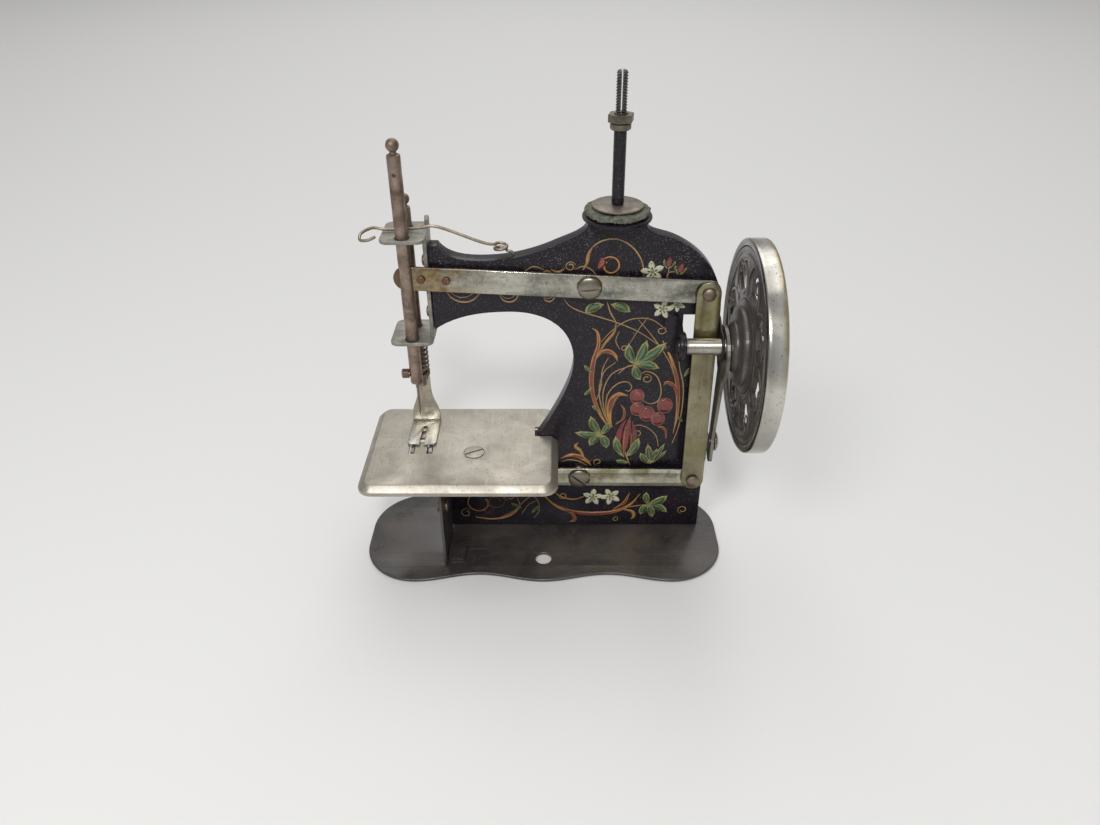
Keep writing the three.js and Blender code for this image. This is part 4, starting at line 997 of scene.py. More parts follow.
lean = (TOP_PIN[0] - LOW_PIN[0]) / (TOP_PIN[1] - LOW_PIN[1])
edge_x = LOW_PIN[0] + lean * (h(45) - LOW_PIN[1]) + 4.5
tab_side = [rounded(LINK_Y[0], FACE - 0.6, h(38), h(52), 1.2)]
tab = flat("tab", tab_side, "yz", edge_x - 0.9, edge_x + 0.3, edge=0.2)
finish(joined("link_strap", link, tab), LINK_NICKEL, "vertical_link", "tarnished_nickel", "vertical_link")
for name, pin, shank in (("link_top_rivet", TOP_PIN, 1.5), ("link_bottom_rivet", LOW_PIN, 1.1)):
    sides = LINK_Y[0] - GAP, LEVER_Y[1] + GAP
    piece = rivet(name + "_head", "y", (pin[0], 0, pin[1]), shank, *sides, (2.5, 1.5), (2.5, 0.9))
    finish(piece, BROWN, "vertical_link", "tarnished_nickel", name)


def pivot_screw(name, x, z, turn):
    face, end = LEVER_Y[0] - GAP, FACE + 2.8
    profile = domed(4.5, 2.2, face, -1, 10)[::-1] + [(1.7, face), (1.7, end), (0, end)]
    obj = turned(name, profile, "y", (x, 0, z), 56)
    return slotted(obj, (x, 0, z), "y", 14, 0.95, face - 4, face - 1.25, turn)


low, high = LEVER_Y[1] + GAP, FACE - GAP
sleeve_steps = [(2.0, low), (3.8, low), (4.0, low + 0.2), (4.0, high - 0.2), (3.8, high), (2.0, high)]
for name, (x, z), turn in (("needle_lever_pivot", TOP_PIVOT, -6), ("lower_lever_pivot", LOW_PIVOT, 38)):
    screw = pivot_screw(name + "_screw_head", x, z, turn)
    finish(screw, SCREW_NICKEL, "frame", "tarnished_nickel", name + "_screw")
    sleeve = turned(name + "_sleeve", sleeve_steps, "y", (x, 0, z), 40)
    finish(sleeve, SCREW_NICKEL, "frame", "tarnished_nickel", name + "_spacer")


# ---------------------------------------------------------------- needle bar, presser bar and foot
def ball_profile(r, ball, bottom, top, steps=14):
    """A bar with rounded ends and a ball on a short neck at its top."""
    out = steps_from(bottom, (0, 0), (r - 0.5, 0), (r - 0.1, 0.25), (r, 0.6))
    out += steps_from(top, (r, -0.9), (r - 0.12, -0.35), (r - 0.7, 0), (r * 0.5, 0.25), (r * 0.45, 0.7))
    centre = top + 0.6 + ball
    for i in range(1, steps + 1):
        a = -math.pi / 2 + 0.5 + (math.pi - 0.5) * i / steps
        out.append((max(ball * math.cos(a), 0), centre + ball * math.sin(a)))
    return out


def needle_bar():
    obj = turned("needle_bar_rod", ball_profile(2.4, 2.3, h(75.5), h(164.6)), "z", (BAR_X, NEEDLE_Y, 0), 40)
    half = 4.6 + 1.1
    slit = block(BAR_X - 4, BAR_X + 4, LEVER_Y[0] - 0.3, LEVER_Y[1] + 0.3, TOP_END[1] - half, TOP_END[1] + half)
    eye = turned("eye", [(0, -6), (0.7, -6), (0.7, 12), (0, 12)], "y", (BAR_X, 0, h(158)), 20)
    return carve(obj, slit, eye)


finish(needle_bar(), BROWN, "needle_bar", "brown_steel", "needle_bar")
needle = turned(
    "needle_point",
    steps_from(h(60), (0, 0), (0.06, 0.1), (0.16, 0.6), (0.45, 5), (0.45, 12.5), (0.6, 13.5), (0.6, 23.5), (0, 23.5)),
    "z",
    (BAR_X, NEEDLE_Y, 0),
    20,
)
finish(needle, SCREW_NICKEL, "needle_bar", "tarnished_nickel", "needle")


def clamp_screw():
    left = BAR_X - 2.4
    profile = [(0, left - 3), (1.6, left - 3), (1.85, left - 2.7)]
    for i in range(5):
        at = left - 2.5 + i * 0.42
        profile += [(1.9, at), (1.72, at + 0.21)]
    profile += [(1.9, left - 0.45), (1.75, left - 0.3), (0.9, left - 0.3), (0.9, BAR_X - 0.9), (0, BAR_X - 0.9)]
    obj = turned("clamp_screw_head", profile, "x", (0, NEEDLE_Y, h(79.5)), 36)
    return slotted(obj, (0, NEEDLE_Y, h(79.5)), "x", 8, 0.6, left - 5, left - 2.3, 20)


finish(clamp_screw(), BROWN, "needle_bar", "brown_steel", "needle_clamp_screw")

presser = turned("presser_bar_rod", ball_profile(2.0, 2.0, h(67.6), h(142.6)), "z", (BAR_X, PRESSER_Y, 0), 40)
finish(presser, BROWN, "presser_bar", "brown_steel", "presser_bar")
FOOT_PIN_Z = h(67.6) + 2.2
COLLAR = FOOT_PIN_Z + 2.5
collar = turned(
    "presser_collar_ring",
    steps_from(COLLAR, (2.3, 0), (3.2, 0), (3.5, 0.25), (3.5, 0.95), (3.2, 1.2), (2.3, 1.2)),
    "z",
    (BAR_X, PRESSER_Y, 0),
    40,
)
finish(collar, BROWN, "presser_bar", "brown_steel", "presser_collar")
COIL_WIRE, COIL_R, TURN_STEPS, COIL_TURNS = 0.45, 3.1, 26, 9
coil_low, coil_high = COLLAR + 1.2 + 0.75, LUG_LOW - 0.7 - 0.75
coil = []
for i in range(TURN_STEPS * COIL_TURNS + 1):
    a = 2 * math.pi * i / TURN_STEPS
    rise = (coil_high - coil_low) * i / (TURN_STEPS * COIL_TURNS)
    coil.append((BAR_X + COIL_R * math.cos(a), PRESSER_Y + COIL_R * math.sin(a), coil_low + rise))
presser_coil = rod_along("presser_coil", coil, COIL_WIRE)
finish(presser_coil, BROWN, "presser_bar", "brown_steel", "presser_spring")
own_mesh(presser_coil)


def presser_foot():
    """A sheet upright that widens to a sole split at the toe for the needle."""
    shank_y = (PRESSER_Y + 2.3, PRESSER_Y + 3.1)
    bottom = PLATE_TOP + GAP
    bend, top = h(50.2), FOOT_PIN_Z + 2.2
    wide, narrow, slit_half = 5.8, 2.8, 0.9

    def at(x, z):
        return (BAR_X + x, z)

    side = [at(-wide, bottom), at(wide, bottom), at(wide, bend)]
    side += bezier(at(wide, bend), at(wide, bend + 7), at(narrow, bend + 7), at(narrow, bend + 15), 16)
    side += arc(BAR_X, top - narrow, narrow, 0, 180, 20)
    side += bezier(at(-narrow, bend + 15), at(-narrow, bend + 7), at(-wide, bend + 7), at(-wide, bend), 16)[:-1]
    outlines = [side, round_hole(BAR_X, FOOT_PIN_Z, 1.2)]
    upright = flat("foot_upright", outlines, "xz", *shank_y, edge=0.18)
    toe, slit = FACE - 7.4, FACE + 1.5
    half = [(wide, toe + 1), (5.2, toe + 0.2), (4.8, toe), (slit_half, toe)]
    sole = [at(wide, shank_y[1]), at(-wide, shank_y[1])] + [at(-x, y) for x, y in half]
    sole += arc(BAR_X, slit, slit_half, 180, 0, 12)
    sole += [at(x, y) for x, y in half[::-1]]
    outlines = [sole, round_hole(BAR_X, slit + 3.4, 0.8)]
    flat_part = flat("foot_sole", outlines, "xy", bottom, bottom + 0.8, edge=0.18)
    return joined("presser_foot_sheet", upright, flat_part)


def feed_comb_and_slot_shade():
    """A dark toothed strip standing in each slot of the cloth plate, clear of its ends at full travel: feed teeth that
    also serve as painted shade inside the slot.
    """
    back, pitch, teeth = -1.65, 0.75, 3
    low, root, tip = 45.0, 48.2, 48.9
    strips = []
    for side in (-1, 1):
        x = BAR_X + side * SLOT_OUT
        outline = [(back, low), (back, root)]
        for i in range(teeth):
            at = back - pitch * i
            outline += [(at - 0.1, tip), (at - pitch, root)]
        outline.append((back - pitch * teeth, low))
        strips.append(flat(f"comb{side}", [outline], "yz", x - 0.75, x + 0.75, edge=0.05))
    return joined("feed_teeth_and_slot_shade", *strips)


# dark feed teeth, also standing in as painted shade inside the plate's slots
finish(feed_comb_and_slot_shade(), DARK_CAST, "feed_bar", "dark_cast")
finish(presser_foot(), FOOT_LOOK, "presser_bar", "plate_nickel", "presser_foot")
foot_screw = turned(
    "presser_foot_screw_head",
    [(0, PRESSER_Y + 0.3), (0.9, PRESSER_Y + 0.3), (0.9, PRESSER_Y + 3.4)] + domed(2.3, 1.3, PRESSER_Y + 3.4, 1),
    "y",
    (BAR_X, 0, FOOT_PIN_Z),
    40,
)
finish(foot_screw, FOOT_LOOK, "presser_bar", "plate_nickel", "presser_foot_screw")


# ---------------------------------------------------------------- thread guide wire
def smooth_path(points, steps=8):
    """A soft curve through every point, for wires and printed lines."""
    pts = [Vector((*p, 0)) if len(p) == 2 else Vector(p) for p in points]
    ends = [pts[0] * 2 - pts[1], *pts, pts[-1] * 2 - pts[-2]]
    out = []
    for i in range(len(pts) - 1):
        p0, p1, p2, p3 = ends[i : i + 4]
        for k in range(steps):
            t = k / steps
            bend = (2 * p0 - 5 * p1 + 4 * p2 - p3) * t * t + (3 * p1 - p0 - 3 * p2 + p3) * t**3
            out.append(0.5 * (2 * p1 + (p2 - p0) * t + bend))
    out.append(pts[-1])
    return out


def guide_wire():
    x, y, anchor = -9.9, 9.3, NECK - 13.5
    points = [(x, y, anchor - 3), (x, y, anchor - 0.5), (x - 0.6, y, anchor + 1)]
    for i in range(13):
        a = i / 8 * math.pi * 2
        points.append((x - 4.6 + 2.3 * math.cos(a), y + 2.3 * math.sin(a), anchor + 1.6 + i / 8 * 1.6))
    out = points[-1]
    lug_face = LUG_TOP + 0.7
    wire_z = lug_face + 0.85
    between = FACE + (-3 + 2.4 + 8.5 - 2.0) / 2
    edge = -57.1
    points += [
        (out[0] - 5, y - 0.6, out[2] + 1.2),
        (-36.9, between + 0.3, wire_z + 0.8),
        (-43.3, between, wire_z + 0.6),
        (-49, between, wire_z + 0.2),
        (edge + 1, between - 0.2, wire_z + 0.2),
        (edge - 3, between - 0.8, wire_z + 0.9),
        (edge - 6.6, between - 3.6, wire_z),
        (edge - 6.4, between - 7.6, wire_z - 1),
        (edge - 3.4, between - 8.8, wire_z - 0.6),
        (edge - 0.9, between - 7.6, wire_z + 0.2),
    ]
    return rod_along("guide_wire", [tuple(p) for p in smooth_path(points, 6)], 0.55)


finish(guide_wire(), BROWN_WIRE, "frame", "brown_steel", "thread_guide_wire")


# ---------------------------------------------------------------- spool spindle
SPINDLE = (27.3, 9.3, 0)


def washer(name, inner, outer, low, high, edge, sides=72):
    near = outer - edge * 0.3
    profile = [(inner, low), (outer - edge, low), (near, low + edge * 0.3), (outer, low + edge)]
    profile += [(outer, high - edge), (near, high - edge * 0.3), (outer - edge, high), (inner, high)]
    return turned(name, profile, "z", SPINDLE, sides)


disc = washer("spool_disc", 1.9, 12.5, NECK + GAP, NECK + 1.6, 0.4)
finish(disc, SPINDLE_BLACK, "frame", "spindle_black", "spindle_disc")


def felt():
    low = NECK + 1.9
    obj = washer("felt_ring", 1.9, 11.85, low, low + 2.4, 0.7, 160)
    edit(obj)
    bpy.ops.mesh.subdivide(number_cuts=2)
    close()
    for name, size, strength in (("felt_waves", 0.0035, 0.0012), ("felt_fluff", 0.0006, 0.0008)):
        texture = bpy.data.textures.new(name, "CLOUDS")
        texture.noise_scale = size
        modified(obj, "DISPLACE", texture=texture, strength=strength, mid_level=0.68)
    return settle(obj, 80)


finish(felt(), FELT, "frame", "felt", "spindle_felt")
top_washer = washer("spool_washer", 1.9, 9.2, NECK + 4.6, NECK + 5.4, 0.25)
finish(top_washer, WASHER_STEEL, "frame", "brown_steel", "spindle_washer")
ROD_TOP = NECK + 30.9
spool_rod = turned(
    "spool_rod",
    steps_from(NECK, (0, -7), (1.6, -7), (1.6, 5.7), (2.05, 5.7), (2.2, 5.9), (2.2, 30.7), (2.0, 30.9), (0, 30.9)),
    "z",
    SPINDLE,
    40,
)
finish(spool_rod, SPINDLE_BLACK, "frame", "spindle_black", "spindle_rod")
collar_low = ROD_TOP + 0.3
collar_nut = turned(
    "spool_collar_nut",
    steps_from(
        collar_low, (2.25, 0), (3.2, 0), (3.5, 0.25), (3.6, 0.6), (3.6, 1.6), (3.45, 2.0), (3.1, 2.2), (2.25, 2.2)
    ),
    "z",
    SPINDLE,
    48,
)
finish(collar_nut, BRASS, "frame", "brass", "spindle_collar_nut")


def six_sided(name, axis, centre, across, low, high, bore, turn=0.3):
    """A nut: six flats, its corners rounded down at both ends."""
    r = across / math.sqrt(3)
    a, b = {"z": (0, 1), "x": (1, 2)}[axis]
    corners = [(i / 6 * math.pi * 2 + turn) for i in range(6)]
    points = [(centre[a] + r * math.cos(t), centre[b] + r * math.sin(t)) for t in corners]
    hole = round_hole(centre[a], centre[b], bore, 32)
    return flat(name, [points, hole], {"z": "xy", "x": "yz"}[axis], low, high, edge=0.28, angle=25)


hex_low = collar_low + 2.5
hex_nut = six_sided("spool_hex_nut", "z", SPINDLE, 8, hex_low, hex_low + 2.7, 2.25)
finish(hex_nut, BRASS, "frame", "brass", "spindle_hex_nut")


def threaded_stud():
    top = NECK + 50.1
    low = ROD_TOP - 4
    profile = [(0, low), (1.25, low), (1.25, ROD_TOP + 0.3)]
    pitch = 0.92
    at = ROD_TOP + 0.4
    while at < top - 0.9:
        profile += [(1.5, at), (1.94, at + pitch * 0.42), (1.94, at + pitch * 0.56)]
        at += pitch
    profile += [(1.5, at), (1.7, top - 0.3), (1.3, top), (0, top)]
    obj = turned("spool_stud", profile, "z", SPINDLE, 28, angle=50)
    x, y = SPINDLE[:2]
    return carve(obj, block(x - 0.3, x + 0.3, y - 5, y + 5, top - 14, top + 1))


finish(threaded_stud(), STUD, "frame", "brown_steel", "split_stud")


# ---------------------------------------------------------------- shaft, rod and handwheel
shaft = turned(
    "shaft_bar",
    steps_from(50.2, (0, 0), (2.5, 0), (2.85, 0.15), (3.05, 0.5))
    + steps_from(80.1, (3.05, 0), (2.15, 0), (2.15, 3.6), (1.9, 3.9), (0, 3.9)),
    "x",
    AXLE,
    56,
)
finish(shaft, SHAFT_LOOK, "wheel", "bright_nickel", "main_shaft")

ROD = span("connecting_rod")
rod_pin_y, rod_pin_z = FACE - 3.4, h(47.6)
head_at = ROD[0][1] + GAP
pin = turned(
    "rod_screw_head",
    [(0, ROD[0][0] - 0.3), (1.4, ROD[0][0] - 0.3), (1.4, head_at)] + domed(4.0, 1.8, head_at, 1, 10),
    "x",
    (0, rod_pin_y, rod_pin_z),
    48,
)
pin = slotted(pin, (0, rod_pin_y, rod_pin_z), "x", 14, 0.95, head_at + 1.0, head_at + 5, 15)
finish(pin, SCREW_NICKEL, "connecting_rod", "tarnished_nickel", "rod_pivot_screw")

RIM_IN, RIM_OUT, RIM_R = RIM[0][0], RIM[0][1], (RIM[1][1] - RIM[1][0]) / 2
RIM_BORE = RIM_R - 2.7


def rim():
    r, b, i, o = RIM_R, RIM_BORE, RIM_IN, RIM_OUT
    corner = [(r - 0.9, 0), (r - 0.45, 0.12), (r - 0.14, 0.42), (r - 0.03, 0.9)]
    profile = steps_from(i, (b, 0.3), (b + 0.4, 0), *corner)
    for k in range(1, 8):
        t = k / 8
        profile.append((r - 0.03 + 0.03 * math.sin(t * math.pi), i + 0.9 + (o - i - 1.8) * t))
    profile += [(radius, o - back) for radius, back in corner[::-1]] + [(b + 0.4, o), (b, o - 0.3)]
    return turned("wheel_tyre", profile, "x", AXLE, 144, angle=50)


finish(rim(), BRIGHT_NICKEL, "wheel", "bright_nickel", "wheel_rim")

WEB_X, WEB_THICK, HUB_R = 74.9, 1.6, 17.4


def window(at, inner, outer, half, pinch):
    """One pierced opening of the wheel, a bowed fan between two rings."""
    y, z = AXLE[1], AXLE[2]
    a0 = math.degrees(at)
    out = arc(y, z, outer, a0 - half, a0 + half, 14)
    out += arc(y, z, inner, a0 + half * pinch, a0 - half * pinch, 10)
    return out


def scroll(at, hand, r0=19.5, r1=33.6, steps=34, stem=0.55, snail=2.9):
    """A raised scroll of the wheel's casting, curling from the hub ring towards the rim."""
    out = []
    a = at + hand * 0.30
    y = AXLE[1] + (r1 - snail) * math.cos(a)
    z = AXLE[2] + (r1 - snail) * math.sin(a)
    for i in range(steps + 1):
        t = i / steps
        if t < stem:
            r = r0 + (r1 - r0) * (t / stem) ** 0.85
            lean = at + hand * 0.30 * (t / stem) ** 1.6
            out.append((AXLE[1] + r * math.cos(lean), AXLE[2] + r * math.sin(lean)))
        else:
            k = (t - stem) / (1 - stem)
            size = snail * (1 - 0.55 * k)
            turn = a + hand * k * 4.6
            out.append((y + size * math.cos(turn), z + size * math.sin(turn)))
    return out


def radii_along(count, widths, soft):
    """Half the widths, spread evenly over a line's points."""
    out = []
    for i in range(count):
        t = i / (count - 1) * (len(widths) - 1)
        k = min(int(t), len(widths) - 2)
        f = t - k
        f = f * f * (3 - 2 * f) if soft else f
        out.append(max((widths[k] + (widths[k + 1] - widths[k]) * f) / 2, 0.02))
    return out


def bow(at, r, swell, spread):
    """A short ridge bowed along one side of an opening."""
    out = []
    for k in range(11):
        t = k / 10 - 0.5
        reach, a = r + swell * math.cos(t * math.pi), at + t * spread
        out.append((AXLE[1] + reach * math.cos(a), AXLE[2] + reach * math.sin(a)))
    return out


def web():
    """The wheel's casting: stepped rings, eight openings, and scrolls standing on both sides."""
    inner, outer = HUB_R + 0.3, RIM_BORE - 0.3
    x0, x1 = WEB_X, WEB_X + WEB_THICK
    profile = [(inner, x0 + 0.1), (HUB_R + 0.6, x0 - 0.15), (HUB_R + 1.6, x0 - 0.15), (HUB_R + 2.1, x0 + 0.25)]
    for back, out in (
        (4.2, 0.25), (3.8, -0.35), (3.3, -0.5), (2.8, -0.35), (2.4, 0.1), (1.7, 0.1), (1.4, -0.2), (0.2, -0.2), (0, 0)
    ):
        profile.append((outer - back, x0 + out))
    for back, out in ((0, 2), (0.4, 1.7), (1.5, 1.7), (1.9, 2.1)):
        profile.append((outer - back, RIM_OUT - out))
    profile += [(outer - 2.1, x1 + 0.4), (outer - 2.7, x1), (HUB_R + 1.6, x1), (HUB_R + 0.5, x1 + 0.15), (inner, x1)]
    disc = turned("wheel_casting", profile, "x", AXLE, 128, angle=40)
    strokes = []
    for i in range(8):
        at, mid = (k / 8 * math.pi * 2 + 0.2 for k in (i, i + 0.5))
        cut_out = flat(f"opening{i}", [window(at, 21.5, 31.5, 14, 0.7)], "yz", x0 - 2, x1 + 2, edge=0.01)
        carve(disc, cut_out)
        for points, widths in (
            (scroll(mid - 0.02, 1), [1.1, 1.7, 1.3, 0.5]),
            (scroll(mid + 0.02, -1, 20.5, 30.6), [1.1, 1.5, 1.1, 0.4]),
            (bow(at, 20.6, -0.9, 0.36), [0.3, 1.2, 0.3]),
            (bow(at, 32.1, 0.5, 0.5), [0.3, 1.0, 0.3]),
        ):
            strokes.append((points, radii_along(len(points), widths, False)))
    inside = pressed_line("scrolls_inner", strokes, "yz", x0 + 0.25, 3, 60, 0.75)
    outside = pressed_line("scrolls_outer", strokes, "yz", x1, 3, 60, 0.55)
    return joined("wheel_casting", disc, inside, outside)


finish(web(), DARK_CAST, "wheel", "dark_cast", "wheel_web")
HUB = span("wheel_hub")
hub_steps = steps_from(
    HUB[0][0], (LUG_BORE, 0), (8.0, 0), (9.0, 0.3), (9.6, 1.0), (9.6, 1.7), (10.2, 2.0),
    (13.6, 2.3), (14.6, 2.7), (15.0, 3.4),
)
hub_steps += steps_from(WEB_X, (15.0, -1.1), (15.5, -0.7), (16.9, -0.6), (HUB_R, -0.2))
hub_steps += steps_from(WEB_X + WEB_THICK, (HUB_R, 0), (14.0, 0.3), (8.5, 1), (8.0, 1.4))
hub_steps += [(8.0, 80.1), (LUG_BORE, 80.1)]
hub = turned("wheel_boss", hub_steps, "x", AXLE, 112, angle=40)
finish(hub, DARK_CAST, "wheel", "dark_cast", "wheel_hub")
finish(six_sided("wheel_hex_nut", "x", AXLE, 9, 80.4, 83.4, 2.45), SHAFT_LOOK, "wheel", "bright_nickel", "wheel_nut")


# ---------------------------------------------------------------- printed ornament
INKS = {
    name: printed(name, tone, deep)
    for name, tone, deep in (
        ("gold", (0.36, 0.22, 0.08), (0.24, 0.145, 0.055)),
        ("orange", (0.44, 0.20, 0.05), (0.31, 0.14, 0.038)),
        ("red", (0.21, 0.032, 0.028), (0.13, 0.021, 0.021)),
        ("deep_red", (0.17, 0.023, 0.025), (0.10, 0.015, 0.018)),
        ("pale_green", (0.31, 0.29, 0.10), (0.21, 0.2, 0.075)),
        ("green", (0.04, 0.115, 0.048), (0.022, 0.07, 0.032)),
        ("deep_green", (0.03, 0.07, 0.035), (0.018, 0.042, 0.022)),
        ("cream", (0.60, 0.57, 0.40), (0.44, 0.44, 0.30)),
        ("pink", (0.24, 0.10, 0.07), (0.16, 0.065, 0.048)),
    )
}
# each printing pass: its name, its ink, and how many passes up it lies
LAYERS = (
    ("gold", "gold", 1), ("deep_red_line", "deep_red", 1), ("orange", "orange", 2), ("deep_red", "deep_red", 2),
    ("pale", "pale_green", 3), ("red", "red", 4), ("green", "green", 4), ("deep_green", "deep_green", 4),
    ("cream", "cream", 4), ("rib", "pale_green", 5), ("gold_top", "gold", 5), ("deep_red_top", "deep_red", 5),
    ("pink_top", "pink", 6), ("orange_top", "orange", 6), ("green_top", "green", 5),
)
strokes_of = {name: [] for name, _, _ in LAYERS}


def stroke(layer, points, widths):
    """One pull of the brush: a soft line through the points, its widths spread evenly along it."""
    path = [(p[0], p[1]) for p in smooth_path([(x, h(z)) for x, z in points], 7)]
    strokes_of[layer].append((path, radii_along(len(path), widths, True)))


def vine(points, width=0.5, layer="gold"):
    stroke(layer, points, [width * 0.6, width * 1.1, width * 1.1, width * 0.7])


def flame(points, width, heart="red"):
    """A broad scroll leaf, orange outside and red within."""
    width *= 1.5
    stroke("orange", points, [0.5, width * 0.75, width, width * 0.72, 0.3])
    inner = points[1:-1] if len(points) > 4 else points
    stroke(heart, inner, [0.1, width * 0.42, width * 0.5, width * 0.24, 0.08])


def leaf(root, tip, width, bow=0.0, pale="pale", fill="green"):
    """A pointed leaf with a pale edge and a pale midrib."""
    width *= 1.42
    dx, dz = tip[0] - root[0], tip[1] - root[1]
    length = math.hypot(dx, dz)
    side = (-dz / length * bow, dx / length * bow)
    mid = ((root[0] + tip[0]) / 2 + side[0], (root[1] + tip[1]) / 2 + side[1])
    stroke(pale, [root, mid, tip], [0.3, width * 0.75, width, width * 0.8, 0.1])
    a = (root[0] + dx * 0.12, root[1] + dz * 0.12)
    b = (root[0] + dx * 0.88, root[1] + dz * 0.88)
    stroke(fill, [a, mid, b], [0.1, width * 0.5, width * 0.68, width * 0.5, 0.05])
    stroke("rib", [root, mid, (root[0] + dx * 0.8, root[1] + dz * 0.8)], [0.28, 0.22, 0.08])


def spray(root, *leaves, colours=("pale", "green")):
    """Leaves (tip, width, bow) from one root."""
    for tip, width, bow in leaves:
        leaf(root, tip, width, bow, *colours)


def berry(x, z, r):
    """A round berry with a pinkish skin line, a dusky side and a small glint."""
    tall = 1.16

    def ring(reach, start, step, count):
        angles = [math.radians(start + step * i) for i in range(count)]
        return [(x + reach * r * math.cos(a), z + reach * tall * r * math.sin(a)) for a in angles]

    across = [-0.98, -0.85, -0.6, -0.3, 0, 0.3, 0.6, 0.85, 0.98]
    widths = [2 * tall * r * math.sqrt(1 - k * k) for k in across]
    stroke("red", [(x + r * k, z) for k in across], widths)
    stroke("pink_top", ring(0.94, 0, 30, 13), [0.34, 0.42, 0.34])
    stroke("deep_red_top", ring(0.6, -150, 24, 6), [0.1, 0.3 * r, 0.1])
    glint = [(x + r * a, z + r * b) for a, b in ((-0.35, 0.35), (-0.05, 0.55), (0.28, 0.45))]
    stroke("orange_top", glint, [0.1, 0.36, 0.1])


def blossom(x, z, size, turn=0.3):
    for i in range(5):
        a = turn + i * math.pi * 2 / 5
        root = (x + 0.12 * size * math.cos(a), z + 0.12 * size * math.sin(a))
        tip = (x + size * math.cos(a), z + size * math.sin(a))
        mid = ((root[0] + tip[0]) / 2, (root[1] + tip[1]) / 2)
        stroke("cream", [root, mid, tip], [0.25 * size, 0.52 * size, 0.62 * size, 0.5 * size, 0.12 * size])
        heart = (x + 0.5 * size * math.cos(a), z + 0.5 * size * math.sin(a))
        half_way = ((root[0] + heart[0]) / 2, (root[1] + heart[1]) / 2)
        stroke("green_top", [root, half_way, heart], [0.1, 0.17 * size, 0.04])
    stroke("gold_top", [(x - 0.12 * size, z), (x, z), (x + 0.12 * size, z)], [0.2, 0.3 * size, 0.2])


def curl(x, z, r, start, sweep, width=0.45, layer="gold", ease=0.6, steps=11):
    """A snail-shell ending, drawn inwards."""
    points = []
    for i in range(steps):
        t = i / (steps - 1)
        a = math.radians(start + sweep * t)
        k = r * (1 - ease * t)
        points.append((x + k * math.cos(a), z + k * math.sin(a)))
    stroke(layer, points, [width * 0.5, width, width, width * 1.25])


